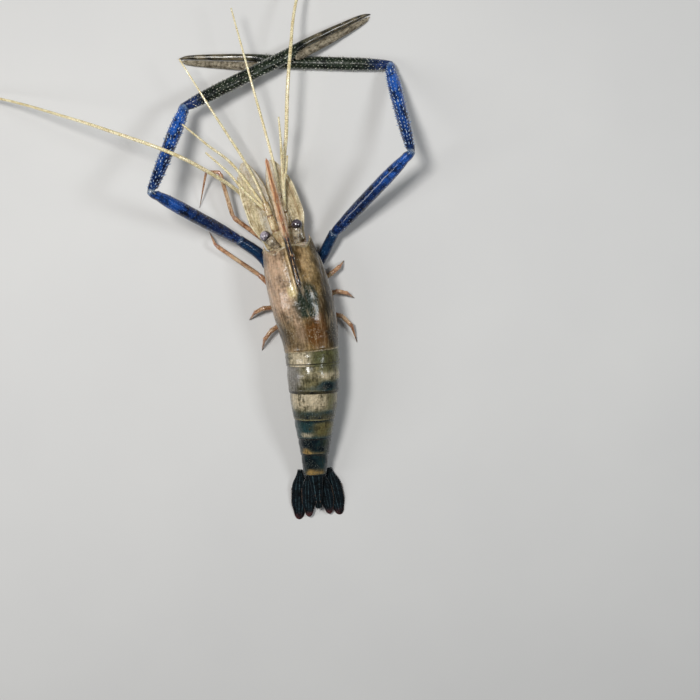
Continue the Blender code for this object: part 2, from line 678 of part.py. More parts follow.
def make_tail_fan():
    rear = PLEON_REAR_S[-1] - GAP
    root = on_trunk(rear, 0, TELSON_RISE[0])
    tip = on_trunk(rear - TELSON_LENGTH, 0, TELSON_RISE[1])
    leaf("telson", "tail", root, tip, TELSON_HALF_WIDTH, TELSON_THICKNESS, telson_shape, along=6)
    for side, sign in SIDES.items():
        ahead, out, up = EXOPOD_ROOT
        leaf(
            f"uropod_outer_{side}", "tail", on_trunk(rear + ahead, sign * out, up),
            on_trunk(rear + ahead - EXOPOD_LENGTH, *EXOPOD_TIP[side]),
            EXOPOD_HALF_WIDTH, EXOPOD_THICKNESS, blade_shape,
        )
        leaf(
            f"uropod_inner_{side}", "tail", on_trunk(rear, sign * ENDOPOD_ROOT[0], ENDOPOD_ROOT[1]),
            on_trunk(rear - ENDOPOD_LENGTH, sign * ENDOPOD_TIP[0], ENDOPOD_TIP[1]),
            ENDOPOD_HALF_WIDTH, ENDOPOD_THICKNESS, blade_shape,
        )


def make_eyes():
    for side in SIDES:
        eye = on_trunk(*EYE_AT[side])
        root = on_trunk(ORBIT_S + GAP, *EYESTALK_ROOT[side])
        toward = (eye - root).normalized()
        front = trunk_frame(ORBIT_S).to_3x3() @ Vector((0, 1, 0))
        stalk_end = eye - toward * (EYE_BACK_CUT + GAP)
        path = [root, root + front * EYESTALK_START, root.lerp(stalk_end, EYESTALK_MIDDLE), stalk_end]
        radii = [EYESTALK_RADIUS * k for k in EYESTALK_STATIONS]
        limb(f"eyestalk_{side}", "feeler", path, radii, sides=8, start=front, end=toward)
        bm = bmesh.new()
        bmesh.ops.create_uvsphere(
            bm, u_segments=12, v_segments=8, radius=EYE_RADIUS, matrix=Matrix.Translation(eye)
        )
        cut = bmesh.ops.bisect_plane(
            bm, geom=bm.verts[:] + bm.edges[:] + bm.faces[:], plane_co=eye - toward * EYE_BACK_CUT,
            plane_no=toward, clear_inner=True,
        )
        rim = [e for e in cut["geom_cut"] if isinstance(e, bmesh.types.BMEdge)]
        bmesh.ops.holes_fill(bm, edges=rim, sides=0)
        finish(f"eye_{side}", bm, "eye")


def make_scales():
    for side in SIDES:
        root = on_trunk(ORBIT_S + GAP, *SCALE_ROOT[side])
        tip = on_trunk(*SCALE_TIP[side])
        leaf(
            f"antennal_scale_{side}", "scale", root, tip, SCALE_HALF_WIDTH, SCALE_THICKNESS, blade_shape,
            along=9,
        )


def make_feelers():
    """Makes the feelers and gives back the points along each whip."""
    whips = []
    front = trunk_frame(ORBIT_S).to_3x3() @ Vector((0, 1, 0))
    for side, sign in SIDES.items():
        root = on_trunk(ORBIT_S + GAP, sign * ANTENNULE_ROOT[0], ANTENNULE_ROOT[1])
        end = on_trunk(*ANTENNULE_END[side])
        stem = [root.lerp(end, t) for t, _ in ANTENNULE_STEM]
        widths = [r for _, r in ANTENNULE_STEM]
        peduncle = limb(f"antennule_{side}", "feeler", stem, widths, flatness=ANTENNULE_FLATNESS, start=front)
        along = (end - root).normalized()
        across = along.cross(UP).normalized()
        middle_root = end - along * MIDDLE_BACK[0] + across * sign * MIDDLE_BACK[1]
        short_root = end - along * SHORT_BACK[0] + across * sign * SHORT_BACK[1]
        middle, middle_radii = feeler_path("middle", middle_root, ANTENNULE_MIDDLE[side])
        short, short_radii = feeler_path("short", short_root, ANTENNULE_SHORT[side])
        fuse(peduncle, [
            limb("middle", "feeler", middle, middle_radii, sides=5),
            limb("short", "feeler", short, short_radii, sides=5),
        ])
        longest, long_radii = feeler_path("long", end + along * GAP, ANTENNULE_LONG[side])
        limb(f"antennule_{side}_flagellum", "feeler", longest, long_radii, start=along)
        root = on_trunk(ORBIT_S + GAP, sign * ANTENNA_ROOT[0], ANTENNA_ROOT[1])
        end = on_trunk(*ANTENNA_END[side])
        stem = [root.lerp(end, t) for t, _ in ANTENNA_STEM]
        limb(f"antenna_{side}", "feeler", stem, [r for _, r in ANTENNA_STEM], sides=8, start=front)
        along = (end - root).normalized()
        near, near_radii = feeler_path("near", end + along * GAP, ANTENNA_NEAR[side])
        joint = (near[-1] - near[-2]).normalized()
        far, far_radii = feeler_path("far", near[-1] + joint * GAP, ANTENNA_FAR[side])
        limb(f"antenna_{side}_flagellum_near", "feeler", near, near_radii, start=along, end=joint)
        limb(f"antenna_{side}_flagellum_far", "feeler", far, far_radii, start=joint)
        whips += [(middle, middle_radii), (longest, long_radii), (near, near_radii), (far, far_radii)]
    return whips


def feeler_path(kind, root, places):
    """The points along one whip and its radius at each."""
    count = WHIP_POINTS[kind]
    return smooth_path([root] + [Vector(p) for p in places], count), even(WHIP_RADII[kind], count)


def fuse(base, others):
    """Joins closed meshes to base by one Boolean union, applied, and keeps the largest closed surface."""
    group = bpy.data.collections.new("fused")
    for other in others:
        group.objects.link(other)
    union = base.modifiers.new("fused", "BOOLEAN")
    union.operation = "UNION"
    union.operand_type = "COLLECTION"
    union.collection = group
    union.solver = "EXACT"
    graph = bpy.context.evaluated_depsgraph_get()
    whole = bpy.data.meshes.new_from_object(base.evaluated_get(graph), depsgraph=graph)
    base.modifiers.clear()
    whole.name = base.name
    base.data = whole
    for other in others:
        bpy.data.objects.remove(other, do_unlink=True)
    bpy.data.collections.remove(group)
    keep_largest(base)


def spine(colour, root, tip, half_length, half_width, sides=5):
    """A pointed spine of its own: an oval base with the given half axes about root, drawn out to tip."""
    bm = bmesh.new()
    slant = Matrix((half_length, half_width, tip - root)).transposed().to_4x4()
    bmesh.ops.create_cone(
        bm, cap_ends=True, segments=sides, radius1=1, radius2=0, depth=1,
        matrix=Matrix.Translation(root) @ slant @ Matrix.Translation((0, 0, 0.5)),
    )
    bmesh.ops.remove_doubles(bm, verts=bm.verts[:], dist=MERGE_DISTANCE)
    return finish("spine", bm, colour)


def spine_rows(kind, colour, path, widths, span, rng, passing=()):
    """Rows of forward-leaning spines along the limb through path, from span[0] to span[1] of its points."""
    length, radius = SPINE_SIZE[kind]
    run = sum((b - a).length for a, b in zip(path[span[0]:span[1]], path[span[0] + 1:span[1] + 1]))
    count = round(run / SPINE_SPACING[kind])
    spines = []
    for row, angle in enumerate(SPINE_ROWS[kind]):
        for k in range(count):
            place = k + SPINE_START + SPINE_STAGGER * (row % 2) + rng.uniform(-SPINE_SHIFT, SPINE_SHIFT)
            walked = run * place / count
            size = rng.uniform(1 - SPINE_VARIES, 1 + SPINE_VARIES)
            turn = math.radians(angle + rng.uniform(-SPINE_TURN, SPINE_TURN))
            i = span[0]
            while i < span[1] - 1 and walked > (path[i + 1] - path[i]).length:
                walked -= (path[i + 1] - path[i]).length
                i += 1
            step = path[i + 1] - path[i]
            share = min(1.0, walked / step.length)
            along = step.normalized()
            side = along.cross(UP).normalized()
            out = side * math.cos(turn) + side.cross(along) * math.sin(turn)
            skin = widths[i] + (widths[i + 1] - widths[i]) * share
            root = path[i].lerp(path[i + 1], share) + out * (skin * FACET_SHARE - SPINE_DEPTH)
            tip = root + out * (SPINE_DEPTH + length * size) + along * (length * size * SPINE_LEAN)
            crowded = any(
                (root.lerp(tip, part) - point).length < width + SPINE_CLEARANCE + radius * (1 - part)
                for point, width in passing
                for part in (0.6, 0.8, 1.0)
            )
            if tip.z > SPINE_CLEARANCE and not crowded:
                around = out.cross(along)
                spines.append(spine(colour, root, tip, along * radius * size, around * radius * size))
    return spines


def packed(path, widths, count=80):
    """Points and half widths at close steps along a limb."""
    return list(zip(smooth_path(path, count), even(widths, count)))


def keep_largest(piece):
    bm = bmesh.new()
    bm.from_mesh(piece.data)
    left = set(bm.faces)
    surfaces = []
    while left:
        surface = {left.pop()}
        edge_of = list(surface)
        while edge_of:
            for edge in edge_of.pop().edges:
                for face in edge.link_faces:
                    if face in left:
                        left.remove(face)
                        surface.add(face)
                        edge_of.append(face)
        surfaces.append(surface)
    surfaces.sort(key=len)
    for surface in surfaces[:-1]:
        bmesh.ops.delete(bm, geom=list(surface), context="FACES")
    bm.to_mesh(piece.data)
    bm.free()


def bent_limb(name, colour, joints, radii, start, sides=6):
    """A leg of straight lengths, a little narrower at each joint."""
    path = [joints[0]]
    widths = [radii[0] * JOINT_NARROWING]
    for i, (a, b) in enumerate(zip(joints, joints[1:])):
        r0 = radii[i]
        r1 = radii[i + 1]
        for t, share in LENGTH_STATIONS:
            path.append(a.lerp(b, t))
            widths.append((r0 + (r1 - r0) * t) * share)
        path.append(b)
        widths.append(r1 * JOINT_NARROWING)
    return limb(name, colour, path, widths, sides=sides, start=start)


def make_legs():
    front = trunk_frame(THORAX_FRONT_S).to_3x3() @ Vector((0, 1, 0))
    for side, sign in SIDES.items():
        root = on_trunk(THORAX_FRONT_S + GAP, sign * MAXILLIPED_ROOT[0], MAXILLIPED_ROOT[1])
        joints = [root] + [on_trunk(s, sign * x, z) for s, x, z in MAXILLIPED]
        bent_limb(f"maxilliped_{side}", "leg", joints, MAXILLIPED_RADII, front)
        root, outward = thorax_side(FIRST_LEG_S, sign, LEG_Z + FIRST_LEG_RISE, FIRST_COXA_CLEARANCE)
        joints = [root, root + outward * STUB] + [on_trunk(*place) for place in FIRST_LEG[side]]
        joints[-1].z = FOOT_Z
        bent_limb(f"first_leg_{side}", "leg", joints, even(FIRST_LEG_RADII, len(joints)), outward)
        for number, s in WALKING_LEG_S.items():
            root, outward = thorax_side(s, sign, LEG_Z - WALKING_LEG_DROP)
            joints = [root, root + outward * LEG_STUB]
            joints += [on_trunk(*place) for place in WALKING_LEG[number][side]]
            joints[-1].z = FOOT_Z
            bent_limb(f"{number}_leg_{side}", "leg", joints, even(LEG_RADII, len(joints)), outward)


def arm_joint(before, at, after):
    """Direction that the two end faces at a joint share."""
    return ((at - before).normalized() + (after - at).normalized()).normalized()


def arm_length(name, colour, a, b, radii, start, end, count=9):
    """One length of the arm between two joints, half a gap short at each."""
    along = (b - a).normalized()
    a = a + start * (GAP / 2)
    b = b - end * (GAP / 2)
    lead = LONG_LEAD if start.dot(along) < STRAIGHT_COSINE else SHORT_LEAD
    trail = LONG_LEAD if end.dot(along) < STRAIGHT_COSINE else SHORT_LEAD
    length = (b - a).length
    shares = [lead / length + (1 - (lead + trail) / length) * i / (count - 1) for i in range(count)]
    stations = [(i / (len(radii) - 1), r) for i, r in enumerate(radii)]
    path = [a] + [a.lerp(b, t) for t in shares] + [b]
    shares = [max(ARM_END_SHARE, min(1 - ARM_END_SHARE, t)) for t in shares]
    widths = [radii[0]] + [curve_through(stations, t) for t in shares] + [radii[-1]]
    return limb(name, colour, path, widths, sides=8, start=start, end=end), path, widths


def make_arms(whips):
    """Both great arms; their spines keep clear of the whips and of the other claw."""
    rng = random.Random(SEED)
    passing = [place for path, widths in whips for place in packed(path, widths)]
    for side, sign in SIDES.items():
        root, outward = thorax_side(ARM_ROOT_S, sign, ARM_ROOT_Z)
        over, ring, elbow, wrist, tip = (
            Vector(place[side]) for place in (ARM_PASS, ARM_RING, ELBOW, WRIST, FINGERTIP)
        )
        at_ring = arm_joint(over, ring, elbow)
        at_elbow = arm_joint(ring, elbow, wrist)
        at_wrist = arm_joint(elbow, wrist, tip)
        path = smooth_path([root, root + outward * STUB, over, ring - at_ring * (GAP / 2)], 8)
        limb(f"arm_{side}_ischium", "blue", path, even(ISCHIUM_RADII, 8), sides=8, start=outward, end=at_ring)
        for kind, a, b, radii, start, end in (
            ("merus", ring, elbow, MERUS_RADII, at_ring, at_elbow),
            ("carpus", elbow, wrist, CARPUS_RADII, at_elbow, at_wrist),
        ):
            piece, path, widths = arm_length(f"arm_{side}_{kind}", "blue", a, b, radii, start, end)
            fuse(piece, spine_rows(kind, "blue", path, widths, (1, len(path) - 2), rng, passing))
        passing += make_claw(side, wrist, tip, at_wrist, rng, passing)


def make_claw(side, wrist, tip, at_wrist, rng, passing):
    """The palm with its fixed finger on the far side, and the felted moving finger on the body's side.

    Gives back the points and half widths along the palm.
    """
    along = (tip - wrist).normalized()
    length = (tip - wrist).length
    inward = Vector((along.y, -along.x, 0)).normalized()
    if inward.y > 0:
        inward.negate()
    start = wrist + at_wrist * (GAP / 2)
    path = [start] + [wrist + along * length * t for t, _ in PALM_STATIONS]
    widths = [CARPUS_RADII[-1]] + [PALM_RADIUS * k for _, k in PALM_STATIONS]
    half = FINGER_RADIUS + GAP / 2
    finger_widths = [FINGER_RADIUS * k for k in FINGER_TAPER]
    path += [wrist + along * length * t - inward * half * apart for t, apart in FIXED_FINGER]
    widths += finger_widths
    palm = limb(f"arm_{side}_palm", "claw", path, widths, sides=8, flatness=PALM_FLATNESS, start=at_wrist)
    finger_path = [wrist + along * length * t + inward * (half * apart + GAP) for t, apart in MOVING_FINGER]
    limb(f"arm_{side}_finger", "felt", finger_path, finger_widths, sides=8, flatness=PALM_FLATNESS)
    taken = packed(finger_path, finger_widths)
    fuse(palm, spine_rows("palm", "claw", path, widths, (1, len(path) - 3), rng, passing + taken))
    return taken + packed(path, widths)


def make_pleopods():
    """Five pairs of paddles under the abdomen, folded back one behind another."""
    front = CARAPACE_REAR_S
    for number, (rear, length, half) in enumerate(zip(PLEON_REAR_S, PLEOPOD_LENGTH, PLEOPOD_HALF_WIDTH), 1):
        s = front + (rear - front) * PLEOPOD_SHARE
        top = curve_through(BELLY, s) - PLEOPOD_DROP
        for side, sign in SIDES.items():
            x = sign * (half + PLEOPOD_PART)
            root = on_trunk(s, x, top)
            tip = on_trunk(s - length * math.cos(PLEOPOD_SLOPE), x, top - length * math.sin(PLEOPOD_SLOPE))
            leaf(f"pleopod_{number}_{side}", "leg", root, tip, half, PLEOPOD_THICKNESS, blade_shape, along=4)
        front = rear


clear_scene()
make_carapace()
make_pleon()
make_thorax()
make_rostrum()
make_tail_fan()
make_eyes()
make_scales()
feeler_whips = make_feelers()
make_legs()
make_arms(feeler_whips)
make_pleopods()
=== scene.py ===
# %% [markdown]
# # A blue-clawed giant river prawn, life size
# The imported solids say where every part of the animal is. This script lays a finer surface over each one:
# shell rings with overlapping margins, a toothed rostrum, ribbed scales, spined arms, felt, bristles, wet
# colour. Metres, +Z up, floor at z = 0. The trunk's places are (s, x, z): s along its bent line towards the
# head, x to the animal's right and z up, before the whole body leans a little to its right.

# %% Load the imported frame
import math
import random

import bmesh
import bpy
import numpy as np
from mathutils import Matrix, Vector


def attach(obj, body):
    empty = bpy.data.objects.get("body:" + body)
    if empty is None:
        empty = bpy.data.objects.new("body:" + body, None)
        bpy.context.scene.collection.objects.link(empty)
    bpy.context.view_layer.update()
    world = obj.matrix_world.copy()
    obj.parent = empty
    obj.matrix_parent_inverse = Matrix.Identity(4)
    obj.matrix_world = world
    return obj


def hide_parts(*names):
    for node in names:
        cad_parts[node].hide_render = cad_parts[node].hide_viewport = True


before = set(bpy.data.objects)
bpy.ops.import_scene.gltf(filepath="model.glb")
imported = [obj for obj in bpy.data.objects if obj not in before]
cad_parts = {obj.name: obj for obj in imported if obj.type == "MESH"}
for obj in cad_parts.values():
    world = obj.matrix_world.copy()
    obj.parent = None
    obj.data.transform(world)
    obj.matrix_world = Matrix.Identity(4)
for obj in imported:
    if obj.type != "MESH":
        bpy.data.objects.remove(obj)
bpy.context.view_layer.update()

# %% [markdown]
# ## Curves and places
# A prawn has hardly a flat face, so most measures are stations of smooth curves. They are written in
# millimetres, as read off a ruler, and `mm` makes metres of them; they are the solids' own measures.
# Everything works on whole arrays of places at once, so a shell of twenty thousand points is one call.

# %% Smooth curves
SIDES = {"left": -1, "right": 1}
UP = (0, 0, 1)
TINY = 1e-12


def mm(sizes):
    """Metres from millimetres: a number, rows of them, or a dict of either."""
    if isinstance(sizes, dict):
        return {key: mm(value) for key, value in sizes.items()}
    return np.array(sizes) / 1000


def ease(low, high, value):
    """Rises smoothly from 0 at low to 1 at high."""
    t = np.clip((value - low) / (high - low), 0.0, 1.0)
    return t * t * (3 - 2 * t)


def fall(low, high, value):
    """Falls smoothly from 1 at low to 0 at high."""
    return 1 - ease(low, high, value)


def band(value, low, high, soft):
    """1 between low and high, with soft ends."""
    return ease(low - soft, low + soft, value) * fall(high - soft, high + soft, value)


def hump(value, middle, reach):
    """A soft bump: 1 at middle, falling away over reach."""
    return np.exp(-(((value - middle) / reach) ** 2))


def curve(stations, at):
    """Values at `at` of a smooth curve through (place, value) stations, level beyond their ends."""
    places, values = np.array(stations, float).T
    at = np.clip(at, places[0], places[-1])
    i = np.clip(np.searchsorted(places, at, side="right") - 1, 0, len(places) - 2)
    chords = np.diff(values) / np.diff(places)
    slopes = np.concatenate((chords[:1], (chords[:-1] + chords[1:]) / 2, chords[-1:]))
    run = places[i + 1] - places[i]
    t = (at - places[i]) / run
    return (
        (2 * t**3 - 3 * t**2 + 1) * values[i] + (t**3 - 2 * t**2 + t) * run * slopes[i]
        + (3 * t**2 - 2 * t**3) * values[i + 1] + (t**3 - t**2) * run * slopes[i + 1]
    )


def even(values, count):
    """The values stretched to `count` by a smooth curve."""
    values = np.asarray(values, float)
    if values.ndim > 1:
        return np.stack([even(axis, count) for axis in values.T], axis=1)
    return curve([*zip(np.linspace(0, 1, len(values)), values)], np.linspace(0, 1, count))


def unit(vectors):
    return vectors / np.maximum(np.linalg.norm(vectors, axis=-1, keepdims=True), TINY)


# %% The trunk's line and its frame
HEAD_TURN, PLEON_TURN, TAIL_TURN = np.radians((14.5, 1.5, 7.0))
NECK = mm((-42, -6))
TAIL_BEND = mm((-96, -80))
LEAN = math.radians(5)
LEAN_HEIGHT = mm(10)
LINE_STEP = mm(0.5)
STEPS_BACK, STEPS_AHEAD = 260, 160


def heading(s):
    """Angle between the trunk's line and +Y, turning towards -X, at s."""
    head = (HEAD_TURN - PLEON_TURN) * ease(*NECK, s)
    return PLEON_TURN + head + (TAIL_TURN - PLEON_TURN) * fall(*TAIL_BEND, s)


LINE_S = np.arange(-STEPS_BACK, STEPS_AHEAD + 1) * LINE_STEP
LINE_TURN = heading((LINE_S[1:] + LINE_S[:-1]) / 2)
LINE_XY = np.zeros((len(LINE_S), 2))
LINE_XY[1:] = np.cumsum(np.stack((-np.sin(LINE_TURN), np.cos(LINE_TURN)), axis=1) * LINE_STEP, axis=0)
LINE_XY -= LINE_XY[STEPS_BACK]


def on_trunk(s, x, z):
    """Floor-frame points of trunk places, one for each s, x and z."""
    s, x, z = np.broadcast_arrays(*(np.asarray(a, float) for a in (s, x, z)))
    turn = heading(s)
    across = x * math.cos(LEAN) + (z - LEAN_HEIGHT) * math.sin(LEAN)
    up = -x * math.sin(LEAN) + (z - LEAN_HEIGHT) * math.cos(LEAN) + LEAN_HEIGHT
    line_x, line_y = (np.interp(s, LINE_S, line) for line in LINE_XY.T)
    return np.stack((line_x + across * np.cos(turn), line_y + across * np.sin(turn), up), axis=-1)


def trunk_ways(s):
    """Unit vectors right, ahead and up of the trunk at one s."""
    here = on_trunk(s, 0, 0)
    turn = float(heading(s))
    ahead = np.array((-math.sin(turn), math.cos(turn), 0))
    return unit(on_trunk(s, 1, 0) - here), ahead, unit(on_trunk(s, 0, 1) - here)


print("trunk line from", LINE_XY[0].round(4), "to", LINE_XY[-1].round(4))

# %% [markdown]
# ## Making pieces
# A plate is a grid laid on an outer and an inner surface. A tube is a grid rolled round a path and welded.
# Spines, bristles and tufts are one small cone repeated by an array and then laid out place by place. Each
# piece carries up to eight markings in the colour attributes `marks` and `more`, in the order of its look,
# and `along`, which holds how far along and around the piece a point is. A piece named after a solid and
# one more word stands for that solid; the others say what they stand for.

# %% Objects and attributes
BODY = "root"
FLOOR_Z = mm(0.02)
SEED = 7
KINDS = {3: ("FLOAT_VECTOR", "vector"), 4: ("FLOAT_COLOR", "color")}


def store(mesh, name, values):
    """Writes one vector or colour for each vertex as a named attribute."""
    kind, field = KINDS[values.shape[-1]]
    layer = mesh.attributes.new(name, kind, "POINT")
    layer.data.foreach_set(field, np.ascontiguousarray(values, np.float32).ravel())


def store_marks(mesh, look, marks, *places):
    """Writes the piece's markings, one channel each: the first four in `marks`, the next four in `more`."""
    values = np.zeros((len(mesh.vertices), 8))
    for mark, value in (marks(*places) if marks else {}).items():
        values[:, MARKINGS[look].index(mark)] = value
    store(mesh, "marks", values[:, :4])
    store(mesh, "more", values[:, 4:])


def show(name, mesh, look, nodes=None):
    """Makes the object, gives it its material, and lets it stand for its solids and ride the body."""
    nodes = [name.rpartition("_")[0]] if nodes is None else nodes
    mesh.name = name
    mesh.materials.clear()
    mesh.materials.append(LOOKS[look])
    mesh.shade_smooth()
    piece = bpy.data.objects.new(name, mesh)
    bpy.context.scene.collection.objects.link(piece)
    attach(piece, BODY)
    if nodes:
        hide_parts(*nodes)


def to_mesh(bm, name):
    mesh = bpy.data.meshes.new(name)
    bm.to_mesh(mesh)
    bm.free()
    return mesh


# %% Plates
def grid_steps(bm, *steps):
    """How many steps along and across its grid each vertex lies."""
    grid = np.array([v.co for v in bm.verts])
    return [np.rint((grid[:, k] + 1) / 2 * count).astype(int) for k, count in enumerate(steps)]


def lay(bm, places):
    """Puts the vertices in their places, none below the floor."""
    places[:, 2] = np.maximum(places[:, 2], FLOOR_Z)
    for vert, place in zip(bm.verts, places):
        vert.co = place


def plate(name, look, us, vs, outer, inner, marks=None, nodes=None):
    """A closed plate: a grid on outer(u, v), its copy on inner(u, v), and the rim between them."""
    bm = bmesh.new()
    bmesh.ops.create_grid(bm, x_segments=len(us) - 1, y_segments=len(vs) - 1, size=1)
    grown = bmesh.ops.extrude_face_region(bm, geom=bm.faces[:])["geom"]
    bm.verts.index_update()
    is_outer = np.zeros(len(bm.verts), bool)
    is_outer[[g.index for g in grown if isinstance(g, bmesh.types.BMVert)]] = True
    row, column = grid_steps(bm, len(us) - 1, len(vs) - 1)
    u, v = us[row], vs[column]
    lay(bm, np.where(is_outer[:, None], outer(u, v), inner(u, v)))
    bmesh.ops.recalc_face_normals(bm, faces=bm.faces[:])
    mesh = to_mesh(bm, name)
    store_marks(mesh, look, marks, u, v)
    store(mesh, "along", np.stack((u, v, is_outer), axis=1))
    show(name, mesh, look, nodes)


# %% Tubes
CAP_SHARE = 0.86
FACE_REACH = mm(3.4)
WELD = 2e-7


def rings(path, start=None, end=None):
    """Sideways, upward and forward unit vectors along a path, turned at its ends to meet a joint's face."""
    steps = unit(np.diff(path, axis=0))
    along = unit(np.concatenate((steps[:1], steps)) + np.concatenate((steps, steps[-1:])))
    walked = np.concatenate(([0], np.cumsum(np.linalg.norm(np.diff(path, axis=0), axis=1))))
    for face, away in ((start, walked), (end, walked[-1] - walked)):
        if face is not None:
            share = np.clip(1 - away / FACE_REACH, 0, 1)[:, None]
            along = unit(along * (1 - share) + face * share)
    side = unit(np.cross(along, UP))
    return side, np.cross(side, along), along, walked


def tube(name, look, slot, path, radii, sides=24, flat=1.0, form=None, marks=None, nodes=None, **ends):
    """A closed tube round a path; form(share, angle) scales its radius. Returns a function of its skin."""
    side, rise, along, walked = rings(path, **ends)
    share = walked / walked[-1]
    last = len(path) - 1
    rows = np.concatenate(([0, 0], np.arange(len(path)), [last, last]))
    pull = np.concatenate(([0, CAP_SHARE], np.ones(len(path)), [CAP_SHARE, 0]))
    form = form or (lambda share, angle: 1)
    bm = bmesh.new()
    bmesh.ops.create_grid(bm, x_segments=len(rows) - 1, y_segments=sides, size=1)
    row, column = grid_steps(bm, len(rows) - 1, sides)
    turn = column / sides * 2 * math.pi - math.pi / 2
    i = rows[row]
    reach = (radii[i] * (pull[row] * form(share[i], turn)))[:, None]
    lay(bm, path[i] + reach * (side[i] * np.cos(turn)[:, None] + rise[i] * flat * np.sin(turn)[:, None]))
    layer = bm.verts.layers.float_vector.new("along")
    for vert, far, angle in zip(bm.verts, walked[i], turn):
        vert[layer] = (far, angle, 0)
    bmesh.ops.remove_doubles(bm, verts=bm.verts[:], dist=WELD)
    bmesh.ops.recalc_face_normals(bm, faces=bm.faces[:])
    mesh = to_mesh(bm, name)
    held = np.array([entry.vector for entry in mesh.attributes["along"].data])
    store_marks(mesh, look, marks, held[:, 0] / walked[-1], held[:, 1])
    show(name, mesh, look, nodes)

    def skin(at, angle):
        """Points on the tube's skin, with the outward and forward unit vectors there."""
        place = np.interp(at, share, np.linspace(0, 1, len(path))) * last
        low = np.clip(place.astype(int), 0, last - 1)
        part = (place - low)[:, None]
        middle, across, over, ahead = (
            values[low] * (1 - part) + values[low + 1] * part for values in (path, side, rise, along)
        )
        out = across * np.cos(angle)[:, None] + over * flat * np.sin(angle)[:, None]
        size = np.interp(place, np.arange(len(path)), radii) * form(at, angle)
        return middle + out * size[:, None], unit(out), unit(ahead)

    return skin


# %% Cones, one or thousands
CONE_TIP = 0.04
AWRY = (0.13, 0.21, 0.97)
BAKE_PATCH = 0.003
BAKE_EDGE = 0.001


def cone_width(z):
    return max(CONE_TIP, 1 - z**1.6)


def cone(sides, levels):
    """A unit cone along +Z: its base about the origin and its point at z = 1, in `levels` steps."""
    bm = bmesh.new()
    tip = bmesh.ops.create_circle(bm, cap_ends=True, segments=sides, radius=1)["verts"][0].link_faces[0]
    for k in range(1, levels + 1):
        grown = bmesh.ops.extrude_face_region(bm, geom=[tip])["geom"]
        if k > 1:
            bmesh.ops.delete(bm, geom=[tip], context="FACES_ONLY")
        tip = next(g for g in grown if isinstance(g, bmesh.types.BMFace))
        width = cone_width(k / levels) / cone_width((k - 1) / levels)
        step = Matrix.Translation((0, 0, 1 / levels)) @ Matrix.Diagonal((width, width, 1, 1))
        bmesh.ops.transform(bm, matrix=step, verts=tip.verts[:])
    bmesh.ops.recalc_face_normals(bm, faces=bm.faces[:])
    return to_mesh(bm, "cone")


def many(name, look, slot, roots, tips, widths, sides=3, levels=2, bend=None, facing=AWRY, flat=1.0, uvs=None):
    """One mesh of many cones; bend moves each one's middle, and flat thins it along facing."""
    count = len(roots)
    seed = bpy.data.objects.new("cone", cone(sides, levels))
    bpy.context.scene.collection.objects.link(seed)
    seed.modifiers.new("row", "ARRAY").count = count
    graph = bpy.context.evaluated_depsgraph_get()
    mesh = bpy.data.meshes.new_from_object(seed.evaluated_get(graph), depsgraph=graph)
    own = np.array([v.co for v in seed.data.vertices])
    bpy.data.objects.remove(seed, do_unlink=True)
    axis = tips - roots
    side = unit(np.cross(facing, axis))
    other = unit(np.cross(axis, side))
    width = np.broadcast_to(widths, (count,))[:, None, None]
    x, y, z = (own[None, :, k, None] for k in range(3))
    places = roots[:, None] + axis[:, None] * z + width * (side[:, None] * x + other[:, None] * y * flat)
    if bend is not None:
        places += bend[:, None] * (4 * z * (1 - z))
    places[..., 2] = np.maximum(places[..., 2], FLOOR_Z)
    mesh.vertices.foreach_set("co", places.astype(np.float32).ravel())
    mesh.update()
    far = np.broadcast_to(own[None, :, 2], (count, len(own)))
    pick = np.broadcast_to(np.random.default_rng(SEED).random(count)[:, None], far.shape)
    store(mesh, "along", np.stack((far, pick, np.zeros_like(far)), axis=-1))
    if uvs is not None:
        bake_map(mesh, own, uvs)
    show(name, mesh, look, ())


def bake_map(mesh, own, uvs):
    """The OFBake map: each tuft is a small patch at its root's place on the unrolled skin."""
    layer = mesh.uv_layers.new(name="OFBake")
    corner = np.zeros(len(mesh.loops), np.int32)
    mesh.loops.foreach_get("vertex_index", corner)
    x, y, z = own[corner % len(own)].T
    spread = np.stack((x * (1 - 0.6 * z), z * 2 - 1 + y * 0.2), axis=1)
    patch = uvs[corner // len(own)] + spread * BAKE_PATCH / 2
    layer.data.foreach_set("uv", np.clip(patch, BAKE_EDGE, 1 - BAKE_EDGE).astype(np.float32).ravel())


print("pieces lie at least", FLOOR_Z, "m above the floor")

# %% [markdown]
# ## Looks
# Every surface is wet, slightly see-through shell. A cloudy ground colour is drawn out into lengthwise
# streaks; up to eight markings lie on it, each torn at its edges by the same clouds; then specks, threads
# and rings. Some markings, and the arm's specks, are painted light: painted shade, painted highlights and
# painted glints. Broad ripples break the highlights of the clear coat into sparks, as a film of water does
# on real shell. One function makes them all, so only the numbers and colours differ from piece to piece.

# %% Shader helpers
def display(colour):
    """The linear colour, with its alpha, of a display colour in 0 to 255."""
    return (*(((value / 255 + 0.055) / 1.055) ** 2.4 for value in colour), 1)


def add(tree, kind, sockets=None, **settings):
    """Adds a node, sets its options and fills its sockets with values or links."""
    made = tree.nodes.new(kind)
    for key, value in settings.items():
        setattr(made, key, value)
    for socket, value in (sockets or {}).items():
        if isinstance(value, bpy.types.NodeSocket):
            tree.links.new(value, made.inputs[socket])
        else:
            made.inputs[socket].default_value = value
    return made


def reckon(tree, operation, a, b=0.0, c=0.0):
    """The result of one arithmetic node."""
    return add(tree, "ShaderNodeMath", {0: a, 1: b, 2: c}, operation=operation).outputs[0]


def cloud(tree, vector, scale, detail=4.0, roughness=0.55, distortion=0.0):
    sockets = {
        "Vector": vector, "Scale": scale, "Detail": detail, "Roughness": roughness, "Distortion": distortion,
    }
    return add(tree, "ShaderNodeTexNoise", sockets).outputs["Fac"]


def drawn_cloud(tree, along, scale, detail=5.0):
    """A cloud stretched along or around a piece."""
    lined = add(tree, "ShaderNodeMapping", {"Vector": along, "Scale": (*scale, 1)}).outputs[0]
    return cloud(tree, lined, 1.0, detail, 0.62, 0.5)


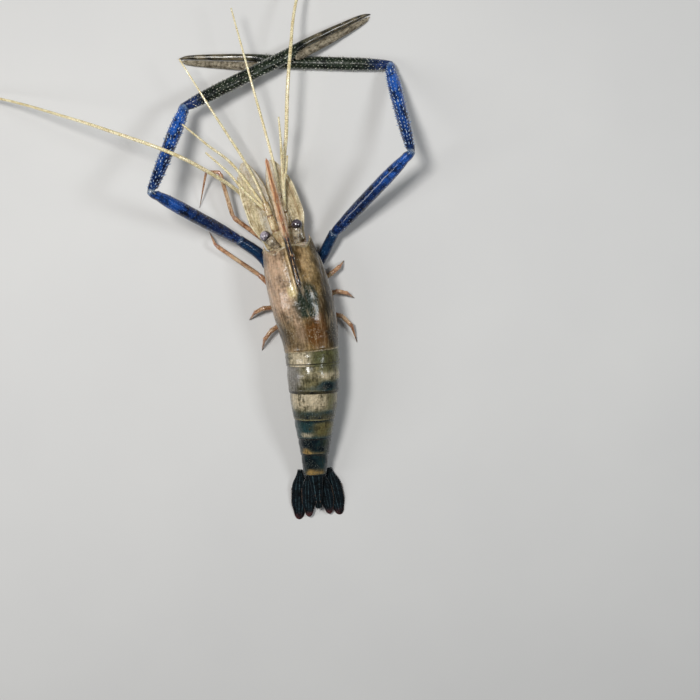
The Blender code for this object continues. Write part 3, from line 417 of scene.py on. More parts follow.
def ramp(tree, value, low, high, to_low=0.0, to_high=1.0):
    """The value eased from low..high to to_low..to_high."""
    sockets = {"Value": value, "From Min": low, "From Max": high, "To Min": to_low, "To Max": to_high}
    return add(tree, "ShaderNodeMapRange", sockets, interpolation_type="SMOOTHSTEP").outputs["Result"]


def blend(tree, factor, a, b, kind="MIX"):
    return add(tree, "ShaderNodeMix", {0: factor, 6: a, 7: b}, data_type="RGBA", blend_type=kind).outputs[2]


# %% One wet shell
LOOKS = {}
MARKINGS = {}
TEAR = 4.0
TEAR_MIDDLE = 3.6
THREAD_DEPTH = -0.5
BAND_DEPTH = -0.6


def shell(
    name, dark, light, marks=None, grain=None, specks_and_glints=None, speck_scale=1500, clouds=180, threads=(),
    bands=None, rough=0.24, coat=0.6, depth=0.10, glow=(0.9, 0.6, 0.4), ripple=0.1, ripple_scale=420,
    bump=0.03, pits=1400, ragged=0.9, shine=0.5, mottle=0.35, film=0.05,
):
    """Makes one look: ground colours, markings, grain along the piece, specks and painted glints, threads and
    bands.
    """
    look = bpy.data.materials.new(f"{name}_look")
    look.use_nodes = True
    tree = look.node_tree
    tree.nodes.clear()
    place = add(tree, "ShaderNodeTexCoord").outputs["Object"]
    along = add(tree, "ShaderNodeAttribute", attribute_name="along").outputs["Vector"]
    broad = cloud(tree, place, clouds, 5)
    fine = cloud(tree, place, clouds * 5, 6, 0.65)
    if grain:
        fine = reckon(tree, "MULTIPLY", reckon(tree, "ADD", fine, drawn_cloud(tree, along, grain)), 0.5)
    both = reckon(tree, "MULTIPLY_ADD", fine, 0.8, broad)
    colour = blend(tree, ramp(tree, both, 0.74, 1.04), display(dark), display(light))
    tear = reckon(tree, "MULTIPLY_ADD", both, TEAR * ragged, 1 - TEAR_MIDDLE * ragged)
    tints = [display(tint) for tint in (marks or {}).values()]
    for attribute, group in (("marks", tints[:4]), ("more", tints[4:])):
        if group:
            channels = add(tree, "ShaderNodeAttribute", attribute_name=attribute).outputs
            parts = add(tree, "ShaderNodeSeparateColor", {"Color": channels["Color"]}).outputs
            for part, tint in zip((*parts, channels["Alpha"]), group):
                colour = blend(tree, ramp(tree, reckon(tree, "MULTIPLY", part, tear), 0.05, 1.05), colour, tint)
    shade = ramp(tree, fine, 0.34, 0.66, 1 - mottle, 1 + mottle * 0.6)
    colour = blend(tree, 1.0, colour, shade, "MULTIPLY")
    height = cloud(tree, place, pits, 3, 0.6)
    for tint, scale, strength in threads:
        thread = ramp(tree, drawn_cloud(tree, along, scale, 3.0), 0.50, 0.68, 0.0, strength)
        colour = blend(tree, thread, colour, display(tint))
        height = reckon(tree, "MULTIPLY_ADD", thread, THREAD_DEPTH, height)
    # Pale specks: on the arm they are painted glints
    if specks_and_glints:
        dots = add(tree, "ShaderNodeTexVoronoi", {"Vector": place, "Scale": speck_scale}).outputs["Distance"]
        where = reckon(tree, "MULTIPLY", ramp(tree, dots, 0.30, 0.18), ramp(tree, broad, 0.42, 0.62))
        colour = blend(tree, reckon(tree, "MULTIPLY", where, 0.6), colour, display(specks_and_glints))
    if bands:
        pitch, tint, strength = bands
        far = add(tree, "ShaderNodeSeparateXYZ", {"Vector": along}).outputs["X"]
        wave = ramp(tree, reckon(tree, "SINE", reckon(tree, "MULTIPLY", far, 2 * math.pi / pitch)), 0.2, 0.9)
        colour = blend(tree, reckon(tree, "MULTIPLY", wave, strength), colour, display(tint))
        height = reckon(tree, "MULTIPLY_ADD", wave, BAND_DEPTH, height)
    wave = cloud(tree, place, ripple_scale, 2, 0.5)
    rippled = add(tree, "ShaderNodeBump", {"Height": wave, "Strength": 1.0, "Distance": mm(ripple)}).outputs[0]
    pitted = {"Height": height, "Strength": 0.8, "Distance": mm(bump), "Normal": rippled}
    shader = add(tree, "ShaderNodeBsdfPrincipled", {
        "Base Color": colour,
        "Roughness": ramp(tree, fine, 0.3, 0.7, max(0.05, rough - 0.08), rough + 0.12),
        "Subsurface Weight": depth, "Subsurface Radius": glow, "Subsurface Scale": mm(1),
        "Coat Weight": coat, "Coat Roughness": film, "Specular IOR Level": shine,
        "Normal": add(tree, "ShaderNodeBump", pitted).outputs[0],
    })
    add(tree, "ShaderNodeOutputMaterial", {"Surface": shader.outputs[0]})
    LOOKS[name] = look
    MARKINGS[name] = list(marks or {})


# %% Trunk and tail
GOLD = (152, 124, 74)
CREAM = (206, 192, 156)

# The carapace's shade marking is painted shade, laid over the shell's own darker olive-brown
shell(
    "carapace", (76, 62, 36), (140, 116, 72),
    {
        "rust": (106, 68, 28), "green": (21, 36, 20), "pink": (188, 158, 132), "furrow": (20, 14, 10),
        "ridge": (200, 172, 126), "yellow": (206, 186, 132), "shade": (44, 38, 26), "rim": (176, 166, 136),
    },
    grain=(5.0, 4.0), specks_and_glints=(210, 200, 172), clouds=130,
    threads=(((58, 40, 26), (4.0, 3.0), 0.38), ((216, 190, 150), (6.0, 4.5), 0.2)),
    depth=0.06, ripple=0.22, ripple_scale=800, coat=0.34, shine=0.3, film=0.10, ragged=0.65,
)
# The pale marking on the hind bands of the second and third rings is painted glints
shell(
    "pleon", (70, 66, 44), (126, 118, 84),
    {
        "teal": (34, 60, 62), "cream": (190, 176, 148), "gold": GOLD, "olive": (82, 84, 50),
        "grey": (126, 122, 116), "navy": (5, 19, 26), "line": (18, 15, 11), "pale": (200, 196, 178),
    },
    grain=(2.2, 4.0), specks_and_glints=(136, 146, 136), clouds=170, threads=(((60, 58, 42), (1.6, 6.0), 0.35),),
    depth=0.06, ripple=0.15, ripple_scale=620, coat=0.24, shine=0.22, film=0.07,
)
shell("carapace_spine", (128, 92, 58), (196, 166, 120), clouds=600, depth=0.2)
shell("flesh", (150, 122, 92), (196, 176, 146), clouds=320, depth=0.3, bump=0.06, pits=900)
shell(
    "rostrum", (190, 132, 86), (226, 184, 140),
    {"line": (26, 16, 10), "cream": (236, 210, 178), "orange": (158, 96, 50), "pink": (196, 138, 112)},
    grain=(60, 3), clouds=260, depth=0.08, glow=(1.0, 0.5, 0.25),
)
shell("tooth", (112, 66, 36), (216, 188, 146), clouds=700, depth=0.2)
# The fan's pale lines along the ribs are painted highlights
shell(
    "fan", (2, 6, 9), (9, 20, 27),
    {"rim": (84, 34, 30), "line": (64, 86, 92), "gold": GOLD, "cream": (96, 84, 74)},
    threads=(((36, 48, 50), (5, 9), 0.4),), clouds=260, depth=0.0, coat=0.35, shine=0.25, ripple=0.14,
    ripple_scale=600,
)

# %% Head
shell(
    "scale", (156, 138, 98), (210, 196, 156),
    {"rib": (236, 226, 192), "web": (196, 190, 176), "brown": (142, 104, 56), "cream": CREAM},
    grain=(5, 9), threads=(((232, 220, 188), (6, 12), 0.6), ((148, 112, 64), (4, 8), 0.5)),
    clouds=260, depth=0.15, ripple=0.16, ripple_scale=600,
)
# Each eye carries a painted highlight on the side that faces the light
shell(
    "eye", (22, 15, 22), (66, 56, 68), {"rim": (24, 18, 18), "bloom": (186, 176, 188)},
    clouds=900, rough=0.12, coat=1.0, depth=0.0, ripple=0.04, ripple_scale=900, bump=0.008, pits=9000,
    shine=0.7,
)
shell(
    "stalk", (84, 72, 56), (152, 138, 114), {"ring": (50, 38, 32), "cream": (190, 178, 154)},
    clouds=600, depth=0.2,
)
shell(
    "stem", (178, 150, 106), (228, 210, 168),
    {"joint": (126, 88, 52), "grey": (178, 170, 146), "gold": GOLD, "cream": CREAM},
    clouds=420, depth=0.2, specks_and_glints=(130, 92, 52), speck_scale=1700, grain=(120, 1.4),
)
shell(
    "feeler", (220, 203, 152), (246, 236, 198), {"root": (160, 122, 76)}, bands=(mm(0.9), (190, 164, 112), 0.3),
    clouds=400, depth=0.2,
)

# %% Limbs
shell(
    "leg", (150, 102, 70), (206, 162, 124),
    {"claw": (88, 58, 38), "blue": (128, 152, 178), "red": (170, 96, 62), "cream": CREAM},
    threads=(((150, 96, 66), (160, 1.6), 0.5),), clouds=380, depth=0.2,
)
# On the arm the specks are painted glints, and the bright blue mark is the carpus's own brighter blue with a
# painted highlight on top
shell(
    "arm", (4, 17, 42), (18, 58, 124),
    {"navy": (3, 12, 32), "joint": (124, 154, 190), "teal": (8, 44, 74), "bright": (38, 94, 184)},
    specks_and_glints=(110, 150, 205), speck_scale=1300, clouds=300, grain=(90, 1.6), depth=0.0, rough=0.2, ripple=0.18,
    ripple_scale=620, shine=0.4,
)
shell(
    "claw", (8, 14, 12), (34, 44, 32), {"blue": (18, 44, 96), "felted": (132, 118, 94), "green": (34, 48, 30)},
    specks_and_glints=(96, 104, 80), speck_scale=1600, clouds=300, grain=(70, 1.6), depth=0.0, rough=0.26, ripple=0.18,
    ripple_scale=620, shine=0.35,
)
shell("arm_spine", (96, 132, 186), (196, 210, 224), clouds=500, depth=0.1)
shell("claw_spine", (130, 134, 120), (214, 214, 198), clouds=500, depth=0.1)
shell("membrane", (58, 78, 110), (150, 160, 170), clouds=520, depth=0.15, bump=0.08, pits=1100)
shell(
    "felt", (106, 95, 77), (200, 190, 168), clouds=700, rough=0.75, coat=0.0, depth=0.05, shine=0.2,
    ripple=0.02, grain=(1.5, 60),
)
shell("dark_bristle", (30, 24, 22), (92, 72, 58), clouds=600, depth=0.0, rough=0.5, coat=0.0, ripple=0.02)
shell("bristle", (150, 122, 84), (206, 184, 140), clouds=600, depth=0.05, rough=0.5, coat=0.0, ripple=0.02)
print(len(LOOKS), "looks")

# %% [markdown]
# ## The trunk's cross-section
# A prawn wears its skeleton outside: one saddle over the head and thorax, then six hoops that slide over
# each other. All are plates laid on one cross-section, the same that the solids use: an arch over the back,
# a steep flank, and a flap that hangs below the belly. w runs round it from 0 on the back to 7 at the
# flap's edge.

# %% The cross-section
GAP = mm(0.3)
ARCH, FLANK, FLAP = 4, 5, 7
WIDEST_SHARE = 0.32
TUCK = 0.10
ARCH_WIDENS, ARCH_RISES = 0.92, 0.88
ORBIT_S, CARAPACE_REAR_S = mm((21, -27))
HALF_WIDTH = mm((
    (-87, 5.3), (-76, 6.7), (-68, 8.0), (-58.5, 9.6), (-46, 11.4), (-33.5, 12.2), (-27, 12.5), (-20, 13.2),
    (-6, 14.3), (8.5, 13.6), (21, 11.5),
))
BACK = mm((
    (-87, 12.5), (-76, 17.6), (-64, 23.5), (-52, 27.8), (-40, 29.6), (-27, 29.2), (-14, 31.0), (0, 30.7),
    (12, 28.8), (21, 26.8),
))
BELLY = mm(((-87, 5.6), (-76, 7.2), (-64, 9.0), (-50, 10.5), (8, 10.5), (21, 11.5)))


def outline(s):
    """Half width, back height and belly height of the trunk at s."""
    return curve(HALF_WIDTH, s), curve(BACK, s), curve(BELLY, s)


def section(w, half_width, back, belly, edge):
    """(x, z) of the trunk's skin at w: 0 on the back, ARCH at the widest, FLAP at the flap's edge."""
    sign, w = np.sign(w), np.abs(w)
    widest = belly + WIDEST_SHARE * (back - belly)
    angle = math.pi / 2 * np.minimum(w, ARCH) / ARCH
    flank_z = widest + (belly - widest) * (w - ARCH) / (FLANK - ARCH)
    low = np.where(w <= FLANK, flank_z, belly + (edge - belly) * (w - FLANK) / (FLAP - FLANK))
    flank = half_width * (1 - TUCK * ((widest - low) / (widest - edge)) ** 2)
    arch_x = half_width * np.sin(angle) ** ARCH_WIDENS
    arch_z = widest + (back - widest) * np.maximum(0, np.cos(angle)) ** ARCH_RISES
    return sign * np.where(w <= ARCH, arch_x, flank), np.where(w <= ARCH, arch_z, low)


def swell(x, z, belly, back, height):
    """Moves (x, z) outward from the trunk's middle by height."""
    away = unit(np.stack((x, np.maximum(0, z - belly - WIDEST_SHARE * (back - belly))), axis=-1))
    return x + away[..., 0] * height, z + away[..., 1] * height


def flap_shift(share, rear_sweep, front_sweep, belly, edge, z):
    """How far a flap's margins carry a point along s: nothing at the belly, their full sweep at the edge."""
    return ((1 - share) * rear_sweep + share * front_sweep) * np.clip((belly - z) / (belly - edge), 0, 1)


# %% Lips and unevenness
LIP_LENGTH, LIP_THICKNESS, SHELL_THICKNESS, FLAP_THICKNESS = mm((1.1, 0.25, 0.45, 1.1))
LIP_STEPS = (-1, -0.7, -0.4, -0.15, -0.002)
LIP_ENDS_W = (4.8, 6.0)


def with_lip(count):
    """Shares from the hind margin to the front, with steps below 0 for the lip behind the margin."""
    return np.concatenate((LIP_STEPS, np.linspace(0.0001, 1, count)))


def lip_s(u, front, rear, w):
    """s at u between a plate's ends. The lip behind its hind margin dies away down the flap."""
    front, rear = front - GAP / 2, rear + GAP / 2
    return rear + np.where(u >= 0, (front - rear) * u, u * LIP_LENGTH * fall(*LIP_ENDS_W, np.abs(w)))


def waver(a, b):
    """Gentle unevenness between -1 and 1."""
    return np.sin(a * 610 + np.sin(b * 2.3) * 1.7) * np.sin(b * 3.1 + a * 233)


print("widest", HALF_WIDTH[:, 1].max() * 2, "m, highest", BACK[:, 1].max(), "m")

# %% [markdown]
# ## Carapace
# The carapace is one thin saddle with a free rim, hollowed for the eyes and drawn back along its lower
# edge. Two low ridges run beside the crest, and a groove marks the liver's bulge. Its colours lie in soft
# clouds: rust and dark green over the back, pink down the left side, and painted shade low on both flanks
# and over the right side, laid on the shell's own darker olive-brown.

# %% Carapace shape
CARAPACE_W = np.linspace(-FLAP, FLAP, 169)
CARAPACE_EDGE, CUT_BACK, REAR_RISE, REAR_HOLLOW = mm((6.2, 16.5, 2.2, 2.2))
RIDGE_X, RIDGE_REACH, RIDGE_HEIGHT = mm((1.7, 0.6, 0.5))
RIGHT_RIDGE = 0.2
RIDGE_STARTS = mm((-8, 4))
GROOVE_S, GROOVE_REACH, GROOVE_DEPTH, GROOVE_TURN_S = mm((8, 7, 0.3, 10))
GROOVE_W, GROOVE_SLANT = 2.9, 60
RIM_HEIGHT, REAR_RIM_HEIGHT, CARAPACE_WAVER = mm((0.16, 0.12, 0.08))
ORBIT_DEPTH, CHEEK_REACH = mm((2.2, 1.1))


def carapace_place(u, w, inset):
    share = np.maximum(u, 0)
    s = lip_s(u, ORBIT_S, CARAPACE_REAR_S, w)
    half_width, back, belly = outline(s)
    edge = CARAPACE_EDGE + REAR_RISE * fall(0, 0.25, share)
    x, z = section(w, half_width - inset, back - inset, belly, edge + inset / 2)
    side, around = np.abs(x), np.abs(w)
    ridge = hump(side, RIDGE_X, RIDGE_REACH) * ease(*RIDGE_STARTS, s) * np.where(x > 0, RIGHT_RIDGE, 1)
    groove = hump(around, GROOVE_W + (s - GROOVE_TURN_S) * GROOVE_SLANT, 0.22) * hump(s, GROOVE_S, GROOVE_REACH)
    rim = ease(0.982, 0.994, share) * ease(0, 0.3, around) * RIM_HEIGHT + hump(u, 0, 0.012) * REAR_RIM_HEIGHT
    relief = ridge * RIDGE_HEIGHT - groove * GROOVE_DEPTH + rim + waver(s, w) * CARAPACE_WAVER
    x, z = swell(x, z, belly, back, relief)
    notch = CHEEK_REACH * hump(around, 3.1, 0.4) - ORBIT_DEPTH * hump(around, 1.6, 0.72)
    shift = flap_shift(share, REAR_HOLLOW, -CUT_BACK, belly, edge, z) + notch * ease(0.72, 1.0, share)
    return on_trunk(s + shift, x, z)


# %% Carapace colours
# Soft oval patches: the marking, then its middle and reach along s in millimetres and along w, and its strength
CARAPACE_PATCHES = (
    ("rust", 15.0, 12.0, 0.95, 0.75, 0.62), ("rust", -19.0, 8.5, 0.75, 1.35, 1.1),
    ("green", -5.0, 7.2, 0.45, 0.70, 2.1), ("green", -8.0, 5.0, -0.40, 0.60, 1.0),
    ("pink", -17.5, 7.5, -0.75, 0.45, 0.45), ("ridge", 13.0, 10.5, 1.25, 0.75, 0.64),
    # The shade patches are painted shade over darker olive-brown shell
    ("yellow", 0.6, 3.4, -0.62, 0.40, 0.85), ("shade", -15.0, 15.0, 2.3, 1.3, 1.0),
    ("shade", -20.5, 7.5, -1.7, 2.4, 0.42), ("shade", -16.5, 8.5, -3.4, 1.4, 0.62),
    ("shade", 17.0, 5.0, -3.2, 1.1, 0.5),
)
FURROW_WIDTH, RIDGE_LINE_WIDTH, EDGE_LINE_X, EDGE_LINE_WIDTH = mm((0.95, 0.5, 2.4, 0.9))


def carapace_marks(u, w):
    s = CARAPACE_REAR_S + (ORBIT_S - CARAPACE_REAR_S) * u
    x = np.abs(section(w, outline(s)[0], 0.03, 0.01, 0.006)[0])
    crest = ease(*mm((-4, 3)), s)
    marks = {
        "pink": band(w, -3.6, -0.7, 0.9) * (0.3 + 0.65 * ease(mm(-18), 0, s)),
        "furrow": hump(x, 0, FURROW_WIDTH) * crest * 2,
        "ridge": hump(x, RIDGE_X, RIDGE_LINE_WIDTH) * crest * (w <= 0) * 0.9,
        # Painted shade down the right flank and low on the left one, with a dark brown line right of the furrow
        "shade": band(w, 1.9, 8.0, 0.7) * 0.65 + ease(3.6, 5.4, -w) * 0.6
        + hump(x, EDGE_LINE_X, EDGE_LINE_WIDTH) * crest * (w > 0) * 0.5,
        # The pale rim on the front and hind margins is a cream edge with a painted highlight along it
        "rim": np.maximum(ease(0.972, 0.992, u), hump(u, -0.75, 0.30)) * 0.8,
    }
    for mark, s_middle, s_reach, w_middle, w_reach, strength in CARAPACE_PATCHES:
        far = ((s * 1000 - s_middle) / s_reach) ** 2 + ((w - w_middle) / w_reach) ** 2
        marks[mark] = marks.get(mark, 0) + strength * np.exp(-(far**1.5))
    return marks


plate(
    "carapace_shell", "carapace", with_lip(118), CARAPACE_W, lambda u, w: carapace_place(u, w, 0.0),
    lambda u, w: carapace_place(u, w, SHELL_THICKNESS), carapace_marks,
)

# %% Antennal and hepatic spines
# Each spine's s, x, z, length and base radius in millimetres, and how far it splays
HEAD_SPINES = ((19.5, 10.6, 18.2, 4.0, 0.60, 0), (15.0, 11.1, 14.6, 3.4, 0.55, 0.36))
SPINE_SUNK = mm(0.6)
SPINE_LIFT = 0.05


def head_spines():
    """Roots, tips and base radii."""
    spines = []
    for sign in SIDES.values():
        for *measures, splay in HEAD_SPINES:
            s, x, z, length, radius = mm(measures)
            right, ahead, up = trunk_ways(s)
            root = on_trunk(s, sign * x, z)
            way = unit(ahead + right * sign * splay + up * SPINE_LIFT)
            spines.append((root - ahead * SPINE_SUNK, root + way * length, radius))
    return (np.array(group) for group in zip(*spines))


many("carapace_spines", "carapace_spine", "shell", *head_spines(), sides=12, levels=6)
print(len(CARAPACE_PATCHES), "soft patches and", len(HEAD_SPINES) * 2, "spines on the carapace")

# %% [markdown]
# ## Body under the shell
# Between the shell's lower edges shows the pale body: one closed skin, arched above and flat at the sole,
# where the animal rests. Faint cross furrows mark its segments.

# %% Flesh, one skin from back to sole
THORAX_REAR_S, THORAX_FRONT_S, MOUTH_S, FLESH_FRONT_S = mm((-26.2, 18, 9, 20.5))
THORAX_HALF_WIDTH = mm(((-26.2, 6.2), (-12, 8.4), (6, 8.4), (18, 5.8)))
THORAX_BOTTOM, MOUTH_RISE = mm((-1.4, 6.2))
FLESH_INSET, FRONT_INSET, FLESH_DROP = mm((0.7, 1.6, 4))
FURROW_DEPTH, FURROW_PITCH = mm((0.2, 7.5))
SOLE_SHARE = 0.60


def thorax_at(s):
    """Sole height, top height and half width of the thorax core at s."""
    low = THORAX_BOTTOM + MOUTH_RISE * ease(MOUTH_S, THORAX_FRONT_S, s)
    return low, curve(BELLY, s) - GAP, curve(THORAX_HALF_WIDTH, s)


def flesh_top(s, v):
    inset = FLESH_INSET + FRONT_INSET * ease(mm(18.5), FLESH_FRONT_S, s)
    half_width, back, belly = outline(s)
    return on_trunk(s, *section(v * FLANK, half_width - inset, back - inset, belly, belly - FLESH_DROP))


def flesh_sole(s, v):
    low, high, wide = thorax_at(s)
    furrow = FURROW_DEPTH * np.cos(s * 2 * math.pi / FURROW_PITCH) * fall(0.5, 0.6, np.abs(v)) * (low > 0)
    return on_trunk(s, v * wide, low + (high - low) * ease(SOLE_SHARE, 1.0, np.abs(v)) + furrow)


plate(
    "body_flesh", "flesh", np.linspace(THORAX_REAR_S, FLESH_FRONT_S, 90), np.linspace(-1, 1, 61),
    flesh_top, flesh_sole, nodes=["thorax"],
)
print("flesh from s", THORAX_REAR_S, "to", FLESH_FRONT_S)

# %% [markdown]
# ## Abdomen rings
# Six hoops, each a little narrower than the last, with a thin lip that slides over the next one. Their side
# flaps hang as rounded lobes. Teal and cream cross the hoops in bands, and navy and gold take over towards
# the tail.

# %% Ring shape
PLEON_W = np.linspace(-FLAP, FLAP, 141)
PLEON_REAR_S = mm((-33.5, -46, -58.5, -68, -76, -86))
PLEON_EDGE = mm((4.2, 3.0, 3.0, 3.0, 3.0, 3.2))
PLEON_SWEEP = mm((2.8, -3.0, -1.4, -1.2, -1.0, 4.6))
TIER_STEP, RIB_HEIGHT, HIND_RIB_HEIGHT, RING_WAVER, LOBE_MIN = mm((0.5, 0.10, 0.12, 0.06, 1))
LOBE_ENDS = 0.30


def pleon_ring(number, front, rear, low, front_sweep, rear_sweep, marks):
    def place(u, w, inside):
        share = np.maximum(u, 0)
        s = lip_s(u, front, rear, w)
        half_width, back, belly = outline(s)
        lobe = LOBE_ENDS + (1 - LOBE_ENDS) * np.maximum(0, 1 - np.abs(2 * share - 1) ** 2.6) ** 0.6
        edge = belly - (belly - low) * lobe
        inset = TIER_STEP * ease(0.55, 1.0, share)
        x, z = section(w, half_width - inset, back - inset, belly, edge)
        rib = hump(u, 0.50, 0.035) * RIB_HEIGHT + hump(u, 0.02, 0.03) * HIND_RIB_HEIGHT
        x, z = swell(x, z, belly, back, rib + waver(s, w) * RING_WAVER)
        if inside:
            thin_x, thin_z = swell(x, z, belly, back, -LIP_THICKNESS)
            in_flap = np.abs(w) > FLANK
            flat_x = w / FLANK * (half_width * (1 - TUCK / 2) - FLAP_THICKNESS)
            x = np.where(in_flap, np.sign(x) * (np.abs(x) - FLAP_THICKNESS), flat_x)
            x, z = np.where(u < 0, (thin_x, thin_z), (x, np.where(in_flap, z, belly)))
        shift = flap_shift(share, rear_sweep, front_sweep, belly, np.minimum(low, belly - LOBE_MIN), z)
        return on_trunk(s + shift, x, z)

    plate(
        f"pleon_ring_{number}", "pleon", with_lip(46), PLEON_W,
        lambda u, w: place(u, w, False), lambda u, w: place(u, w, True), marks, [f"pleon_{number}"],
    )


# %% Ring colours; u runs from the hind margin to the front
def ring_1(u, w):
    return {
        "cream": band(w, -2.7, -0.4, 0.9) * 0.9 + hump(w, 3.0, 0.7) * 0.2,
        "olive": band(w, -0.2, 3.4, 0.8) * 0.9, "grey": ease(2.2, 3.4, -w) * 0.8,
        "line": band(u, -0.3, 0.03, 0.03), "pale": band(u, 0.90, 1.2, 0.06) * 0.35,
    }


def ring_2(u, w):
    right = ease(-0.4, 1.0, w)
    teal = band(u, 0.06, 0.36, 0.18) * right * 1.3 + band(u, 0.02, 0.20, 0.12) * 0.5
    return {
        "teal": teal, "navy": teal * 0.5, "cream": band(u, 0.42, 0.76, 0.22) * (0.35 + 0.15 * right),
        "olive": band(u, 0.70, 1.1, 0.18) * right * 0.6, "grey": fall(-2.4, -0.4, w) * 0.9,
        # The pale mark here is painted glints on the hind band
        "line": band(u, -1.2, 0.02, 0.03) * 0.8, "pale": band(u, 0.02, 0.26, 0.12) * hump(w, 0.4, 0.9) * 0.22,
    }


def ring_3(u, w):
    side = np.abs(w)
    return {
        "teal": band(u, 0.06, 0.34, 0.20) * 0.75,
        "navy": band(u, -0.5, 0.20, 0.18) * fall(3.6, 5.4, side) * 0.55,
        "cream": band(u, 0.34, 1.1, 0.22) * fall(2.4, 4.4, side) * (0.95 - 0.5 * ease(0, 2, w)),
        "olive": band(u, 0.30, 1.0, 0.15) * hump(w, 1.9, 1.1) * 0.6,
        "grey": ease(2.4, 4.2, -w) * 0.7 + band(u, 0.4, 1.1, 0.2) * hump(w, -1.6, 1.2) * 0.25,
        # The pale mark here is painted glints on the hind band
        "pale": band(u, 0.04, 0.30, 0.12) * hump(w, 0.3, 1.3) * 0.12,
    }


def ring_4(u, w):
    warm = ease(-1.2, 0.8, w) * fall(2.4, 3.8, w) * band(u, 0.06, 0.84, 0.20)
    return {
        "teal": 1.6 * (1 - 0.85 * warm), "cream": band(u, 0.06, 0.26, 0.16) * hump(w, -1.4, 1.2) * 0.65,
        "gold": warm * 0.55, "olive": warm * 0.7, "line": band(u, -1.2, -0.3, 0.1) * 0.8,
        "navy": band(u, 0.82, 1.1, 0.14) * 0.75 + band(u, 0.5, 1.1, 0.3) * 0.2,
    }


def ring_5(u, w):
    gold = band(u, -0.2, 0.34, 0.30) * hump(w, -1.7, 1.1) * 1.1
    gold = gold + band(u, -0.2, 0.14, 0.12) * hump(w, 0.5, 2.0) * 0.5
    plain, right = np.maximum(0, 1 - gold), hump(w, 1.8, 1.3)
    return {
        "teal": 2 * plain, "gold": gold, "olive": right * 0.65 * plain, "navy": (1.0 - 0.4 * right) * plain,
        "line": band(u, -1.2, -0.4, 0.1) * 0.8,
    }


def ring_6(u, w):
    gold = band(u, -0.6, 0.20, 0.30) * fall(1.2, 4.4, np.abs(w)) * (0.75 + 0.5 * hump(w, -1.0, 0.8))
    plain = np.maximum(0, 1 - gold)
    return {"teal": 2 * plain, "gold": gold, "navy": (0.95 - 0.25 * hump(w, 0.8, 1.0)) * plain}


# %% Six rings, each from the one before it
def abdomen():
    front, front_sweep = CARAPACE_REAR_S, REAR_HOLLOW
    measures = zip(PLEON_REAR_S, PLEON_EDGE, PLEON_SWEEP, (ring_1, ring_2, ring_3, ring_4, ring_5, ring_6))
    for number, (rear, low, sweep, marks) in enumerate(measures, 1):
        pleon_ring(number, front, rear, low, front_sweep, sweep, marks)
        front, front_sweep = rear, sweep
    print("shell laid over", number, "rings")


abdomen()

# %% [markdown]
# ## The rostrum
# The rostrum is a blade on edge with a keel along each side. Its upper edge, dark and toothed, runs back
# over the carapace as a crest between two pale ridges. The teeth are cones, flattened, leaning forward.

# %% Rostrum blade
CREST_REAR_S, NOSE_S, TIP_TAPER_S, ROSTRUM_TIP_S = mm((2.5, 21.8, 58.5, 60))
ROSTRUM_TOP = mm(((2.5, 30.8), (10, 30.7), (21, 29.1), (30, 29.6), (40, 29.4), (50, 30.6), (60, 33.4)))
ROSTRUM_BOTTOM = mm(((21.8, 23.6), (30, 23.0), (40, 24.9), (50, 28.4), (60, 32.8)))
KEEL_HALF_WIDTH = mm(((2.5, 0.5), (21, 0.9), (27, 1.6), (42, 1.4), (60, 0.4)))
ROSTRUM_EDGE, ROSTRUM_MIN_HEIGHT, JUST_SHORT = mm((0.3, 0.4, 0.01))


def rostrum_place(s, v, side):
    low = np.where(s >= NOSE_S, curve(ROSTRUM_BOTTOM, s), curve(BACK, s) + GAP / 3)
    high = np.maximum(curve(ROSTRUM_TOP, s), low + ROSTRUM_MIN_HEIGHT)
    keel = curve(KEEL_HALF_WIDTH, s) * np.maximum(0, 1 - np.abs(2 * v - 0.9) ** 1.3)
    taper = 1 - 0.85 * ease(TIP_TAPER_S, ROSTRUM_TIP_S, s)
    thick = (ROSTRUM_EDGE * (1 - 0.6 * ease(0.75, 1.0, v)) + keel) * taper
    return on_trunk(s, side * thick, low + (high - low) * v)


def rostrum_marks(s, v):
    base = fall(*mm((20, 28)), s)
    return {
        "line": base * 1.8, "cream": hump(v, 0.60, 0.16) * 0.8 * (1 - base),
        "pink": ease(*mm((46, 60)), s) * 0.5,
        "orange": fall(0.1, 0.4, v) * 0.7 + ease(0.84, 0.96, v) * (1.4 - base),
    }


plate(
    "rostrum_blade", "rostrum",
    np.concatenate((
        np.linspace(CREST_REAR_S, NOSE_S - JUST_SHORT, 40), np.linspace(NOSE_S, ROSTRUM_TIP_S, 90),
    )),
    np.linspace(0, 1, 33), lambda s, v: rostrum_place(s, v, 1), lambda s, v: rostrum_place(s, v, -1),
    rostrum_marks,
)

# %% Rostral teeth
# Each row: how many teeth, then the first and last s, a tooth's length and half its base, all in millimetres
TEETH = {1: (12, 6.0, 56.5, 1.4, 1.2), -1: (10, 27.0, 55.5, 1.1, 1.0)}
TOOTH_CROWD = 1.2
TOOTH_VARIES = 0.125
TOOTH_LEAN = 1.38
TOOTH_DEPTH = mm(0.45)
TOOTH_SUNK = 1.6
TOOTH_BEND = -0.12


def rostral_teeth():
    """Roots, tips, half bases and sideways directions of the teeth above, then below."""
    rng = random.Random(SEED)
    teeth = []
    for sign, (count, *measures) in TEETH.items():
        first, last, length, half_base = mm(measures)
        edge = ROSTRUM_TOP if sign > 0 else ROSTRUM_BOTTOM
        for k in range(count):
            share = (k / (count - 1)) ** TOOTH_CROWD
            s = first + (last - first) * share
            size = (1 - 0.5 * share) * rng.uniform(1 - TOOTH_VARIES, 1 + TOOTH_VARIES)
            right, ahead, up = trunk_ways(s)
            root = on_trunk(s, 0, curve(edge, s) - sign * TOOTH_DEPTH * TOOTH_SUNK)
            tip = root + ahead * length * size * TOOTH_LEAN + up * sign * (length * size + TOOTH_DEPTH)
            teeth.append((root - ahead * half_base * size * 0.4, tip, half_base * size, right))
    return (np.array(group) for group in zip(*teeth))


